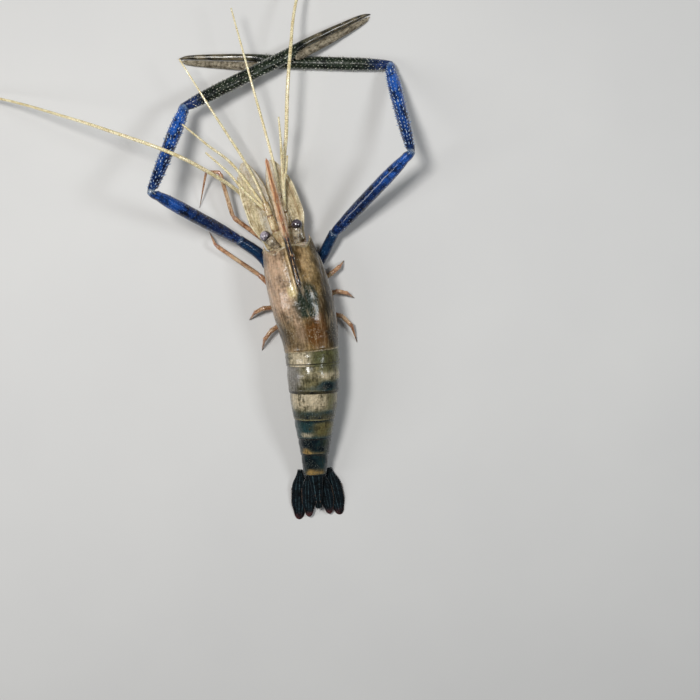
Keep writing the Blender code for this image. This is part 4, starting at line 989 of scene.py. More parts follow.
tooth_roots, tooth_tips, tooth_widths, tooth_across = rostral_teeth()
many(
    "rostral_teeth", "tooth", "rostrum", tooth_roots, tooth_tips, tooth_widths, sides=12, levels=7,
    bend=TOOTH_BEND * (tooth_tips - tooth_roots) * (1, 1, -0.6), facing=tooth_across, flat=0.42,
)
print(len(tooth_roots), "teeth")

# %% [markdown]
# ## Tail fan and antennal scales
# The tail's blades, the antennal scales and the swimming legs are thin leaves with a rib or two and a
# fringe of fine bristles along the free margin. A leaf is a plate whose thickness follows a lens across it,
# and its fringe is rooted on the same surface.

# %% Leaves and fringes
LEAF_EDGE = 0.22
LEAF_THINS = 0.45
TIP_EDGE = 0.3
FRINGE_ROOT = 0.985
FRINGE_END = 0.995
FRINGE_WIDTH = mm(0.03)
FRINGE_SPREAD = 0.25 / 3


def round_tip(t, last):
    """Draws a blade's end in to an oval."""
    return np.sqrt(np.maximum(0.0, 1 - np.clip((t - 1 + last) / last, 0, 1) ** 2))


def blade_shape(t):
    """Half width of an oval blade with a narrow root, as a share of its widest."""
    return 0.34 + 0.66 * ease(0, 0.35, t) - 0.62 * ease(0.62, 1.0, t) * 0.8


class Leaf:
    """A thin blade from root to tip; relief(t, v) stands proud of both faces."""

    def __init__(self, root, tip, half_width, thickness, relief, shape=blade_shape, tip_share=0.10):
        self.root, self.axis = root, tip - root
        self.side = unit(np.cross(self.axis, UP))
        self.up = unit(np.cross(self.side, self.axis))
        self.half_width, self.thickness, self.relief = half_width, thickness, relief
        self.shape, self.tip_share = shape, tip_share

    def place(self, t, v, face):
        tip = round_tip(t, self.tip_share)
        across = LEAF_EDGE + (1 - LEAF_EDGE) * np.sqrt(np.maximum(0, 1 - v * v))
        lens = self.thickness * (1 - LEAF_THINS * t) * across * (TIP_EDGE + (1 - TIP_EDGE) * tip)
        lens = lens + self.relief(t, v)
        wide = self.side * (v * self.half_width * self.shape(t) * tip)[:, None]
        return self.root + self.axis * t[:, None] + wide + self.up * (face * lens / 2)[:, None]

    def skin(self, name, look, slot, marks, along, across):
        plate(
            name, look, np.linspace(0, 1, along), np.linspace(-1, 1, across),
            lambda t, v: self.place(t, v, 1), lambda t, v: self.place(t, v, -1), marks,
        )

    def fringe(self, ts, side, length, rng):
        """Roots, tips and map places of bristles along one margin, leaning towards the tip."""
        edge = np.full_like(ts, side * FRINGE_ROOT)
        root = self.place(ts, edge, 0)
        ahead = unit(self.place(np.minimum(ts + 0.02, 0.999), edge, 0) - root)
        way = unit(self.side * side * (1.15 - ts[:, None]) + ahead * (0.35 + 0.75 * ts)[:, None])
        way = unit(way + rng.normal(0, FRINGE_SPREAD, way.shape) * (1, 1, 0.7))
        grown = length * (0.7 + 0.5 * rng.random(len(ts))) * (0.5 + 0.5 * np.sin(math.pi * ts**0.7))
        places = np.stack((ts * 0.96 + 0.02, np.full_like(ts, 0.5 + side * 0.46)), axis=1)
        return root, root + way * grown[:, None], places


def fringes(name, look, slot, leaves, length, per_side, first):
    """Bristles along the given sides of some leaves, from the share `first` to the tip."""
    rng = np.random.default_rng(SEED)
    parts = []
    for blade, sides in leaves:
        for side in sides:
            ts = first + (FRINGE_END - first) * (np.arange(per_side) + rng.random(per_side)) / per_side
            parts.append(blade.fringe(ts, side, length, rng))
    roots, tips, places = (np.concatenate(group) for group in zip(*parts))
    many(name, look, slot, roots, tips, FRINGE_WIDTH, uvs=places)
    print(name, len(roots), "bristles")


# %% Tail fan
FAN_REAR_S = PLEON_REAR_S[-1] - GAP
TELSON_LENGTH, TELSON_HALF_WIDTH, TELSON_THICKNESS, TELSON_ROOT_Z, TELSON_TIP_Z = mm((17.8, 3.6, 2.2, 9, 5))
# Each blade's root ahead, out and up, its length, tip out, tip height left and right, half width and thickness
UROPODS = {
    "outer": (1.0, 6.8, 3.4, 23.8, 9.8, -0.7, 1.1, 3.7, 1.1),
    "inner": (0.0, 3.0, 5.0, 21.5, 5.0, 2.6, 2.6, 3.1, 1.0),
}
TELSON_RIB, TELSON_FURROW, UROPOD_RIB = mm((0.22, 0.10, 0.20))
TELSON_SPINES_AT = np.array(((0.985, -0.8), (0.985, 0.8), (0.60, -0.5), (0.60, 0.5), (0.78, -0.5), (0.78, 0.5)))
TELSON_SPINES_RISE = mm((0, 0, 0.3, 0.3, 0.3, 0.3))
SPINE_ROOT, SPINE_LENGTH, SPINE_RADIUS = mm((0.3, 1, 0.16))


def telson_relief(t, v):
    ribs = hump(np.abs(v), 0.42, 0.14) + 0.6 * hump(v, 0, 0.16)
    return TELSON_RIB * ribs * (1 - 0.6 * t) - TELSON_FURROW * hump(v, 0.2, 0.1)


def uropod_relief(t, v):
    ribs = hump(v, 0.05, 0.09) + 0.6 * (hump(v, -0.45, 0.08) + hump(v, 0.5, 0.08))
    return UROPOD_RIB * ribs * (1 - 0.5 * t)


def uropod_marks(t, v):
    # Painted highlights along the ribs
    line = (hump(v, 0.05, 0.05) + hump(v, -0.45, 0.04) + hump(v, 0.5, 0.04)) * 0.6
    return {"rim": ease(0.78, 1.0, t) * 0.6, "line": line, "cream": ease(0.90, 1.0, np.abs(v)) * 0.12}


def telson_marks(t, v):
    # Painted highlights along the two side ribs
    line = hump(np.abs(v), 0.42, 0.07) * 0.8
    return {"line": line, "gold": fall(0.0, 0.05, t) * 0.6, "cream": ease(0.92, 1.0, t) * 0.3}


def tail_fan():
    telson = Leaf(
        on_trunk(FAN_REAR_S, 0, TELSON_ROOT_Z), on_trunk(FAN_REAR_S - TELSON_LENGTH, 0, TELSON_TIP_Z),
        TELSON_HALF_WIDTH, TELSON_THICKNESS, telson_relief, lambda t: 1 - 0.62 * t, tip_share=0.05,
    )
    telson.skin("telson_blade", "fan", "tail", telson_marks, 80, 33)
    blades = []
    for side, sign in SIDES.items():
        for kind, measures in UROPODS.items():
            ahead, out, up, length, tip_out, *tip_up, half_width, thickness = mm(measures)
            s = FAN_REAR_S + ahead
            tip = on_trunk(s - length, sign * tip_out, tip_up[sign > 0])
            blade = Leaf(on_trunk(s, sign * out, up), tip, half_width, thickness, uropod_relief)
            blade.skin(f"uropod_{kind}_{side}_blade", "fan", "tail", uropod_marks, 80, 33)
            blades.append((blade, (-1, 1)))
    fringes("tail_fringe", "dark_bristle", "tail", blades, mm(1), 260, first=0.35)
    root = telson.place(*TELSON_SPINES_AT.T, 1)
    way = unit(telson.axis)
    many(
        "telson_spines", "dark_bristle", "tail", root - way * SPINE_ROOT,
        root + way * SPINE_LENGTH + telson.up * TELSON_SPINES_RISE[:, None], SPINE_RADIUS, sides=8, levels=4,
    )


tail_fan()

# %% Antennal scales, with a stout rib near the straight outer margin and a thin rounded web inside it
SCALE_ROOT = mm({"left": (-7.3, 14.9), "right": (6.8, 14.9)})
SCALE_TIP = mm({"left": (61.8, -10.0, 17.2), "right": (60.0, 2.2, 16.8)})
SCALE_HALF_WIDTH, SCALE_THICKNESS, SCALE_RIB, SCALE_VEIN, SCALE_FOLD = mm((6.1, 0.8, 0.42, 0.04, 0.18))
SCALE_SPINE_AT = (0.80, 0.93)
SCALE_SPINE_LENGTH, SCALE_SPINE_RADIUS = mm((3, 0.5))


def scale_relief(t, out):
    rib = hump(out, 0.90, 0.07) * SCALE_RIB * (1 - 0.5 * t)
    return rib + SCALE_VEIN * np.cos(out * 26) * ease(0.1, 0.3, t) + hump(out, 0.45, 0.12) * SCALE_FOLD


def scale_marks(t, out, sign):
    return {
        "rib": hump(out, 0.95, 0.06) * 1.1, "cream": ease(0.90, 1.0, np.abs(out)) * 0.6,
        "web": fall(-0.6, 0.5, out) * (0.75 - 0.2 * sign) + ease(0.72, 0.95, t) * 0.6,
        "brown": hump(out, 0.62, 0.10) * (0.45 + 0.15 * sign) + hump(out, 0.3, 0.06) * (0.35 + 0.15 * sign),
    }


def antennal_scales():
    fringed = []
    for side, sign in SIDES.items():
        blade = Leaf(
            on_trunk(ORBIT_S + GAP, *SCALE_ROOT[side]), on_trunk(*SCALE_TIP[side]), SCALE_HALF_WIDTH,
            SCALE_THICKNESS, lambda t, v, sign=sign: scale_relief(t, v * sign), tip_share=0.16,
        )
        name = f"antennal_scale_{side}"
        blade.skin(f"{name}_blade", "scale", "scale", lambda t, v: scale_marks(t, v * sign, sign), 110, 57)
        share, out = SCALE_SPINE_AT
        root = blade.place(np.array([share]), np.array([sign * out]), 0)
        tip = root + unit(blade.axis) * SCALE_SPINE_LENGTH
        many(f"{name}_spine", "stem", "scale", root, tip, SCALE_SPINE_RADIUS, sides=12, levels=6)
        fringed.append((blade, (-sign,)))
    fringes("scale_fringe", "bristle", "scale", fringed, mm(1.7), 620, first=0.25)


antennal_scales()

# %% [markdown]
# ## Eyes
# Each eye is a dark, glossy globe of thousands of facets on a short, pale, see-through stalk that grows
# wider towards it. The globe is a ball with its facets as fine bumps; the stalk is a tube that clasps it.
# The two sit a little unevenly, and a painted highlight lies on the side of each that faces the light.

# %% Eyes and stalks
EYE_RADIUS, STALK_RADIUS, STALK_SUNK = mm((2.55, 2.2, 2.2))
EYE_AT = mm({"left": (27.2, -8.6, 20.5), "right": (28.8, 6.3, 20.5)})
STALK_ROOT = mm({"left": (-5.0, 20.3), "right": (4.7, 20.3)})
STALK_WIDENS = np.array((0.72, 0.84, 0.94, 1.06))
STALK_STEPS = 24
# How strong each eye's painted highlight is
EYE_PAINTED_HIGHLIGHT = {"left": 0.75, "right": 0.25}
LIGHT_FROM = (-0.35, 0, 1)


def stalk_form(share, angle):
    return 1 + 0.015 * np.sin(share * 26) - 0.10 * ease(0.90, 1.0, share)


def stalk_marks(share, angle):
    return {"ring": ease(0.93, 1.0, share) * 0.8, "cream": hump(share, 0.75, 0.2) * 0.7}


def eyes():
    ahead = trunk_ways(ORBIT_S)[1]
    for side in SIDES:
        eye = on_trunk(*EYE_AT[side])
        root = on_trunk(ORBIT_S + GAP, *STALK_ROOT[side])
        toward = unit(eye - root)
        bm = bmesh.new()
        bmesh.ops.create_uvsphere(bm, u_segments=64, v_segments=40, radius=EYE_RADIUS)
        turn = Vector(UP).rotation_difference(Vector(toward)).to_matrix().to_4x4()
        bmesh.ops.transform(bm, matrix=Matrix.Translation(eye) @ turn, verts=bm.verts[:])
        mesh = to_mesh(bm, "eye")
        points = np.array([v.co for v in mesh.vertices])
        facing = (points - eye) @ toward / EYE_RADIUS
        # A painted highlight, pale where the globe faces the light
        lit = (points - eye) @ unit(toward * 0.5 + LIGHT_FROM) / EYE_RADIUS
        bloom = ease(0.15, 1.0, lit) * EYE_PAINTED_HIGHLIGHT[side]
        store_marks(mesh, "eye", lambda: {"rim": fall(-0.35, 0.0, facing), "bloom": bloom})
        store(mesh, "along", np.stack((facing, facing, facing), axis=1))
        show(f"eye_{side}_globe", mesh, "eye")
        path = (root - ahead * STALK_SUNK, root, root + (eye - root) * 0.45, eye - toward * EYE_RADIUS * 0.55)
        tube(
            f"eyestalk_{side}_skin", "stalk", "stalk", even(path, STALK_STEPS),
            even(STALK_WIDENS * STALK_RADIUS, STALK_STEPS), sides=28, form=stalk_form, marks=stalk_marks,
        )
        print(side, "eye at", eye.round(4))


eyes()

# %% [markdown]
# ## Feelers
# The antennules and antennae have stout jointed stems and whips of hundreds of short rings. An antennule
# carries three whips, an antenna one long one. The rings are painted and bumped from the whip's own `along`
# attribute, so they follow every bend.

# %% Stems
STEM_SUNK = mm(1.2)
STEM_SHELL = 1.02
STEM_STEPS = 70
# Stations of the radius, at shares of the length; root out and up; where the joints are and where it pales
STEMS = {
    "antennule": (
        (
            (0, 1.6), (0.1, 2.1), (0.35, 1.9), (0.40, 1.6), (0.45, 1.8), (0.68, 1.6), (0.72, 1.4), (0.76, 1.5),
            (1, 1.2),
        ),
        (2.6, 17.5), (0.38, 0.70), 0.3, {"sides": 20, "flat": 0.72},
    ),
    "antenna": (
        ((0, 1.7), (0.08, 2.0), (0.30, 1.9), (0.36, 1.6), (0.42, 1.7), (0.7, 1.6), (1, 1.0)),
        (6.4, 12.3), (0.33, 0.66), 0.5, {"sides": 24},
    ),
}
STEM_END = {
    "antennule": mm({"left": (42.0, -4.8, 18.5), "right": (42.0, 2.4, 18.5)}),
    "antenna": mm({"left": (37.5, -10.8, 12.0), "right": (37.5, 8.2, 11.5)}),
}
STEM_RING = {"antennule": (0.39, 0.71), "antenna": (0.35, 0.67)}


def joint_form(joints, depth=0.10):
    """Narrows a stem at its joints and swells it just before each."""
    def form(share, angle):
        scale = np.ones_like(share)
        for joint in joints:
            scale = scale - depth * hump(share, joint + 0.012, 0.016)
            scale = scale + depth * 0.8 * hump(share, joint - 0.03, 0.03)
        return scale
    return form


def stem(kind, side, sign):
    """Lays one stem and returns its root and its end."""
    stations, root, joints, pale, shape = STEMS[kind]
    out, up = mm(root)
    root = on_trunk(ORBIT_S - STEM_SUNK, sign * out, up)
    end = on_trunk(*STEM_END[kind][side])
    shares = np.linspace(0, 1, STEM_STEPS)

    def marks(share, angle):
        ring = sum(hump(share, place, 0.02) for place in STEM_RING[kind])
        return {"joint": ring, "cream": hump(share, pale, 0.1) * 0.5}

    tube(
        f"{kind}_{side}_stem", "stem", "feeler", root + (end - root) * shares[:, None],
        mm(np.interp(shares, *np.transpose(stations))) * STEM_SHELL, form=joint_form(joints),
        start=trunk_ways(ORBIT_S)[1], marks=marks, **shape,
    )
    return root, end


# %% Whips
WHIP_SUNK = mm(0.4)
WHIP_SIDES = 10
WHIP_STEPS = 150
STEPS_BETWEEN = 26
# Each whip's radii, how far behind the stem's end and outward it starts, and its places on the floor frame
WHIPS = {
    "middle": (
        (0.70, 0.62, 0.40), (2.2, 0.9),
        {
            "left": ((-28.5, 56.0, 20.5), (-39.5, 64.8, 24.5), (-50.3, 73.6, 28.2)),
            "right": ((-6.6, 56.0, 21.0), (-7.1, 68.0, 24.5), (-7.8, 77.0, 26.5)),
        },
    ),
    "short": (
        (0.68, 0.62, 0.44), (3.8, 0.9),
        {
            "left": ((-23.5, 44.5, 20.2), (-31.0, 53.0, 21.2), (-40.8, 61.7, 21.8)),
            "right": ((-5.8, 48.0, 21.5), (-4.6, 54.0, 24.0), (-4.0, 60.0, 26.5)),
        },
    ),
    "long": (
        (0.70, 0.60, 0.36), (0.4, 0.0),
        {
            "left": ((-22.1, 55.5, 19.0), (-38.0, 80.5, 21.5), (-52.1, 102.8, 21.5)),
            "right": ((-10.8, 58.2, 19.0), (-20.0, 92.5, 21.5), (-29.0, 125.3, 20.0)),
        },
    ),
}
ANTENNA_RADII = (1.0, 0.78, 0.36)
ANTENNA_PLACES = {
    "left": (
        (-26.2, 44.0, 13.9), (-42.0, 54.5, 27.5), (-57.2, 61.8, 34.2), (-79.0, 69.5, 31.8),
        (-100.5, 76.6, 25.0), (-133.4, 86.2, 11.0), (-164.0, 91.0, 5.2), (-190.0, 90.0, 3.0),
    ),
    "right": (
        (-6.3, 51.2, 13.0), (-4.8, 70.0, 19.5), (-4.0, 89.2, 22.0), (-2.8, 105.0, 21.2),
        (-0.5, 128.2, 15.0), (7.5, 156.0, 8.0), (21.0, 183.0, 4.5), (40.0, 206.0, 3.0),
    ),
}


def whip_marks(share, angle):
    return {"root": fall(0.0, 0.10, share) * 0.7}


def whip(name, root, places, radii, nodes):
    path = even(np.concatenate(([root], mm(places))), WHIP_STEPS)
    count = STEPS_BETWEEN * (len(places) + 1)
    tube(
        name, "feeler", "feeler", even(path, count), even(mm(radii), count), sides=WHIP_SIDES, marks=whip_marks,
        nodes=nodes,
    )


def feelers():
    for side, sign in SIDES.items():
        root, end = stem("antennule", side, sign)
        along = unit(end - root)
        across = unit(np.cross(along, UP))
        for kind, (radii, sunk, places) in WHIPS.items():
            back, out = mm(sunk)
            nodes = [f"antennule_{side}_flagellum"] if kind == "long" else []
            start = end - along * back + across * sign * out
            whip(f"antennule_{side}_{kind}_whip", start, places[side], radii, nodes)
        root, end = stem("antenna", side, sign)
        nodes = [f"antenna_{side}_flagellum_{part}" for part in ("near", "far")]
        start = end - unit(end - root) * WHIP_SUNK
        whip(f"antenna_{side}_whip", start, ANTENNA_PLACES[side], ANTENNA_RADII, nodes)
        print(side, "feelers rooted at", root.round(4))


feelers()

# %% [markdown]
# ## Legs
# A walking leg is a chain of stiff tubes. Each swells towards its far end and sits in the next through a
# soft joint, and the last one is a dark claw. One tube, with a profile repeated from joint to joint, gives
# the whole leg. Short bristles lean towards the foot, closest together just before each joint.

# %% One leg
LEG_PROFILE = (
    (0, 0.78), (0.06, 0.92), (0.2, 1.0), (0.6, 1.0), (0.86, 1.08), (0.94, 1.14), (0.985, 1.06), (1, 0.80),
)
STEPS_PER_LENGTH = 22
SOFTENINGS = 5
LEG_TIP_RADIUS = mm(0.1)
leg_skins = []


def leg(node, joints, radii, start, darkness=1.1):
    """Lays a limb through its joints and keeps its skin for the bristles."""
    joints = np.array(joints)
    radii = even(mm(radii), len(joints))
    t = np.linspace(0, 1, STEPS_PER_LENGTH, endpoint=False)
    profile = curve(LEG_PROFILE, t)
    path, widths, knees = [], [], [0.0]
    for a, b, r0, r1 in zip(joints, joints[1:], radii, radii[1:]):
        path.append(a + (b - a) * t[:, None])
        widths.append((r0 + (r1 - r0) * t) * profile)
        knees.append(knees[-1] + np.linalg.norm(b - a))
    path = np.concatenate(path + [joints[-1:]])
    for _ in range(SOFTENINGS):
        path[1:-1] = path[:-2] * 0.25 + path[1:-1] * 0.5 + path[2:] * 0.25
    widths = np.concatenate(widths + [[LEG_TIP_RADIUS]])
    widths[-STEPS_PER_LENGTH:] = np.linspace(widths[-STEPS_PER_LENGTH], LEG_TIP_RADIUS, STEPS_PER_LENGTH)
    knees = np.array(knees) / knees[-1]

    def marks(share, angle):
        joint = sum(hump(share, knee, 0.012) for knee in knees[1:-1])
        claw = ease(knees[-2] + 0.35 * (1 - knees[-2]), 0.99, share) * darkness
        return {
            "claw": claw + hump(share, knees[1], 0.02) * 0.4, "blue": joint * 0.5, "red": joint * 0.7,
            "cream": hump(share, 0.5, 0.2) * 0.4,
        }

    skin = tube(f"{node}_limb", "leg", "leg", path, widths, sides=16, start=start, marks=marks)
    leg_skins.append((skin, knees))


# %% All the legs
LEG_SUNK, LEG_Z, LEG_RISE, FIRST_LEG_RISE, FOOT_Z, MOUTH_SUNK = mm((1.2, 3.2, 1.4, 1.6, 0.3, 0.8))
MOUTH_ROOT = mm((2.6, 7.0))
MOUTH_LIMB = mm(((29, 4.2, 5.8), (37, 5.2, 6.0), (46, 4.8, 6.6)))
MOUTH_RADII = (1.4, 1.3, 1.0, 0.4)
FIRST_LEG_RADII = (1.1, 1.1, 1.0, 0.8, 0.4)
LEG_RADII = (1.2, 1.2, 1.1, 0.95, 0.35)
# How far from the thorax's side a limb starts, in gaps
FIRST_CLEARANCE, ROOT_CLEARANCE = 2.4, 1.8
# Where each leg leaves the body and how high, then its joints as trunk places; the last is its foot
FIRST_LEG_S, FIRST_LEG_Z = mm((15.2, 5.0))
LEG_S = mm({"third": 2.0, "fourth": -5.5, "fifth": -13.0})
LEG_JOINTS = {
    "first": {
        "left": (
            (24, -7.8, 6.0), (39.5, -20.5, 8.0), (60.5, -21.0, 11.8), (62.5, -27.0, 8.0), (48.0, -34.5, 0),
        ),
        "right": ((21, 8.6, 4.8), (32, 8.6, 5.2), (43, 8.0, 4.0), (50, 7.4, 0)),
    },
    "third": {
        "left": ((2.0, -10.5, 2.6), (10.5, -15.2, 2.2), (29.2, -31.5, 4.5), (36.2, -33.0, 0)),
        "right": ((1.5, 12.0, 3.6), (3.5, 17.5, 6.6), (5.5, 21.5, 6.4), (7.5, 24.5, 0)),
    },
    "fourth": {
        "left": ((-5.5, -12.0, 2.2), (-4.5, -18.0, 4.6), (-5.5, -22.0, 3.6), (-8.5, -25.5, 0)),
        "right": ((-5.8, 12.0, 3.4), (-5.5, 17.8, 6.6), (-7.5, 21.8, 6.4), (-10.5, 24.8, 0)),
    },
    "fifth": {
        "left": ((-14.0, -11.2, 2.2), (-16.5, -17.0, 4.6), (-20.5, -20.5, 3.6), (-27.0, -22.5, 0)),
        "right": ((-14.0, 11.5, 3.4), (-16.5, 17.0, 6.6), (-21.0, 20.5, 6.4), (-28.0, 22.5, 0)),
    },
}


def thorax_side(s, side, z, clear):
    """The point just outside the thorax's slanting side at s and z, and that side's outward direction."""
    low, high, wide = thorax_at(s)
    x = wide * (SOLE_SHARE + (1 - SOLE_SHARE) * (z - low) / (high - low))
    slant = unit(np.array((high - low, (1 - SOLE_SHARE) * wide)))
    right, ahead, up = trunk_ways(s)
    outward = right * side * slant[0] - up * slant[1]
    return on_trunk(s, side * x, z) + outward * clear * GAP, outward


def walking_leg(number, side, s, z, clear, rise, radii):
    root, outward = thorax_side(s, SIDES[side], z, clear)
    joints = [root - outward * LEG_SUNK, root + outward * rise]
    joints += [on_trunk(*place) for place in mm(LEG_JOINTS[number][side])]
    joints[-1][2] = FOOT_Z
    leg(f"{number}_leg_{side}", joints, radii, outward)


def walking_legs():
    for side, sign in SIDES.items():
        root = on_trunk(THORAX_FRONT_S - MOUTH_SUNK, sign * MOUTH_ROOT[0], MOUTH_ROOT[1])
        joints = [root] + [on_trunk(s, sign * x, z) for s, x, z in MOUTH_LIMB]
        leg(f"maxilliped_{side}", joints, MOUTH_RADII, trunk_ways(THORAX_FRONT_S)[1], darkness=0.4)
        walking_leg("first", side, FIRST_LEG_S, FIRST_LEG_Z, FIRST_CLEARANCE, FIRST_LEG_RISE, FIRST_LEG_RADII)
        for number, s in LEG_S.items():
            walking_leg(number, side, s, LEG_Z, ROOT_CLEARANCE, LEG_RISE, LEG_RADII)
    print(len(leg_skins), "limbs")


walking_legs()

# %% Bristles on the limbs
BRISTLES, JOINT_BRISTLES = 90, 14
BRISTLE_SUNK, BRISTLE_SHORT, BRISTLE_LONG, BRISTLE_WIDTH = mm((0.05, 0.4, 1.0, 0.035))


def leg_bristles():
    rng = np.random.default_rng(SEED)
    parts = []
    for skin, knees in leg_skins:
        at = rng.uniform(knees[1], 0.97, BRISTLES)
        near = knees[2:-1, None] - rng.uniform(0.005, 0.03, (len(knees) - 3, JOINT_BRISTLES))
        at = np.concatenate((at, near.ravel()))
        angle = rng.uniform(0, 2 * math.pi, len(at)) - math.pi / 2
        spot, out, ahead = skin(at, angle)
        tips = spot + unit(out * 0.7 + ahead) * rng.uniform(BRISTLE_SHORT, BRISTLE_LONG, (len(at), 1))
        places = np.stack((0.02 + 0.96 * at, (angle + math.pi / 2) / (2 * math.pi)), axis=1)
        parts.append((spot - out * BRISTLE_SUNK, tips, places))
    roots, tips, places = (np.concatenate(group) for group in zip(*parts))
    many("leg_bristles", "bristle", "leg", roots, tips, BRISTLE_WIDTH, uvs=places)
    print(len(roots), "bristles on the limbs")


leg_bristles()

# %% [markdown]
# ## Swimming legs
# Five pairs of small paddles hang under the abdomen, slanting back. From above only their fringes peep out,
# and from the side they fill the space under the flaps. They are plain leaves with a fringe on both
# margins.

# %% Swimming legs
PLEOPOD_SLOPE = math.radians(34)
PLEOPOD_LENGTH = mm((13.5, 14, 13.5, 10.5, 8))
PLEOPOD_HALF_WIDTH = mm((3.4, 3.4, 2.7, 2.1, 1.5))
PLEOPOD_THICKNESS, PLEOPOD_PART, PLEOPOD_DROP, PLEOPOD_RIB = mm((1, 0.7, 0.9, 0.12))
PLEOPOD_SHARE = 0.30


def paddle_relief(t, v):
    return PLEOPOD_RIB * hump(v, 0, 0.2) * (1 - t)


def paddle_marks(t, v):
    return {"blue": ease(0.6, 1.0, t) * 0.5, "red": fall(0, 0.15, t) * 0.6}


def paddles():
    front = CARAPACE_REAR_S
    blades = []
    for number, (rear, length, half) in enumerate(zip(PLEON_REAR_S, PLEOPOD_LENGTH, PLEOPOD_HALF_WIDTH), 1):
        s = front + (rear - front) * PLEOPOD_SHARE
        top = curve(BELLY, s) - PLEOPOD_DROP
        tip_s, tip_z = s - length * math.cos(PLEOPOD_SLOPE), top - length * math.sin(PLEOPOD_SLOPE)
        for side, sign in SIDES.items():
            x = sign * (half + PLEOPOD_PART)
            root, tip = on_trunk(s, x, top), on_trunk(tip_s, x, tip_z)
            blade = Leaf(root, tip, half, PLEOPOD_THICKNESS, paddle_relief, tip_share=0.2)
            blade.skin(f"pleopod_{number}_{side}_paddle", "leg", "leg", paddle_marks, 40, 17)
            blades.append((blade, (-1, 1)))
        front = rear
    fringes("paddle_fringe", "bristle", "leg", blades, mm(1.6), 110, first=0.2)


paddles()

# %% [markdown]
# ## The great arms
# Blue, and longer than the body: ischium, merus, carpus, and a claw with one fixed and one moving finger.
# Each length flares to a smooth rim, soft pale membrane shows at the joints, rows of small pale spines run
# along the shell, and the moving finger is clad in short brown felt. The merus and carpus are painted
# lighter on top and darker below, and the blue lengths carry painted glints as pale specks.

# %% Lengths of the arm
ARM_ROOT_S, ARM_ROOT_Z, ARM_SUNK, ARM_RISE = mm((7.5, 3.8, 1.0, 1.6))
# Where the ischium passes the body, the ring at its end, elbow, wrist and fingertip, on the floor frame
ARM_JOINTS = mm({
    "left": (
        (-17.3, 15.4, 5.6), (-27.2, 22.7, 8.8), (-62.5, 43.5, 40.0), (-50.2, 82.2, 18.0), (33.0, 125.8, 0.2),
    ),
    "right": (
        (10.4, 14.4, 4.2), (16.5, 25.9, 8.6), (50.7, 61.4, 30.0), (41.7, 102.6, 3.0), (-54.6, 105.4, 1.5),
    ),
})
ISCHIUM_RADII = mm((1.9, 2.1, 2.6, 2.4))
MERUS_RADII = mm((2.2, 2.9, 3.0, 2.9, 1.9))
CARPUS_RADII = mm((1.9, 2.7, 2.9, 3.1, 2.3))
ISCHIUM_STEPS, LENGTH_STEPS = 80, 90


def arm_joint(before, at, after):
    """Direction that the two end faces at a joint share."""
    return unit(unit(at - before) + unit(after - at))


def uneven(around, drift, along, twist, depth):
    """A form that leaves a tube slightly uneven, in waves around and along it."""
    def form(share, angle):
        rounded = 1 + 0.012 * np.sin(angle * around + share * drift)
        return rounded + depth * np.sin(share * along + angle * twist)
    return form


def arm_length(name, a, b, radii, start, end, marks):
    """One length of the arm: narrow where it sits in the last one, flared at its far rim."""
    a, b = a + start * (GAP / 2), b - end * (GAP / 2)
    shares = np.linspace(0, 1, LENGTH_STEPS)
    flare = 1 + 0.10 * hump(shares, 0.965, 0.022) - 0.10 * fall(0, 0.05, shares)
    widths = even(radii, LENGTH_STEPS) * flare * (1 - 0.05 * hump(shares, 0.915, 0.02))
    path = a + (b - a) * shares[:, None]
    form = uneven(3, 9, 40, 2, 0.010)
    return tube(name, "arm", "arm", path, widths, sides=40, form=form, start=start, end=end, marks=marks)


def ischium_marks(share, angle):
    return {"navy": hump(share, 0.05, 0.1) * 0.6 + 0.35, "joint": ease(0.94, 1.0, share) * 0.6, "teal": 0.7}


# Painted highlight on the merus's upper side and painted shade, in teal, on its underside
def merus_marks(share, angle):
    top = np.maximum(0, np.sin(angle))
    joint = ease(0.965, 1.0, share) * 0.7 + fall(0, 0.03, share) * 0.6
    bright = top * ease(0.45, 0.9, share) * 0.5 * (1 - joint)
    return {"navy": hump(share, 0.35, 0.3) * 0.55, "joint": joint, "teal": 0.25 * (1 - top), "bright": bright}


# The carpus's own brighter blue and pale joints, with painted light: a highlight on the upper side and on top
# of the wrist, and painted shade in navy below
def carpus_marks(share, angle):
    top = np.maximum(0, np.sin(angle))
    joint = ease(0.88, 1.0, share) * (0.35 + 0.4 * top) + fall(0, 0.04, share) * 0.6
    bright = (0.25 + top * ease(0.3, 0.8, share) * 0.5) * (1 - 0.9 * joint)
    return {"navy": fall(0.05, 0.4, share) * 0.6 + (1 - top) * 0.3, "joint": joint, "bright": bright}


def palm_marks(share, angle):
    return {
        "blue": fall(0.0, 0.16, share) * 0.9, "felted": ease(0.56, 0.72, share) * 0.45,
        "green": hump(share, 0.4, 0.25) * 0.45,
    }


# %% Spines of the arm
# Each part's spine length, base radius and pitch in millimetres, the share of that size that its spines
# reach, and each row's angle in degrees
SPINES = {
    "merus": (0.9, 0.42, 2.1, 0.55, (-28, 4, 36, 66, 96, 126, 158, 190)),
    "carpus": (1.1, 0.46, 1.9, 0.95, (-30, 2, 34, 64, 94, 124, 156, 188)),
    "palm": (1.2, 0.48, 1.9, 0.72, (-34, -4, 22, 46, 70, 94, 118, 144, 172, 204)),
}
ROW_SPREAD, ANGLE_SPREAD = 0.22, 6
SPINE_STANDS, SPINE_LEANS, SPINE_SLENDER = 0.85, 0.75, 0.72
SPINE_DEPTH = mm(0.2)


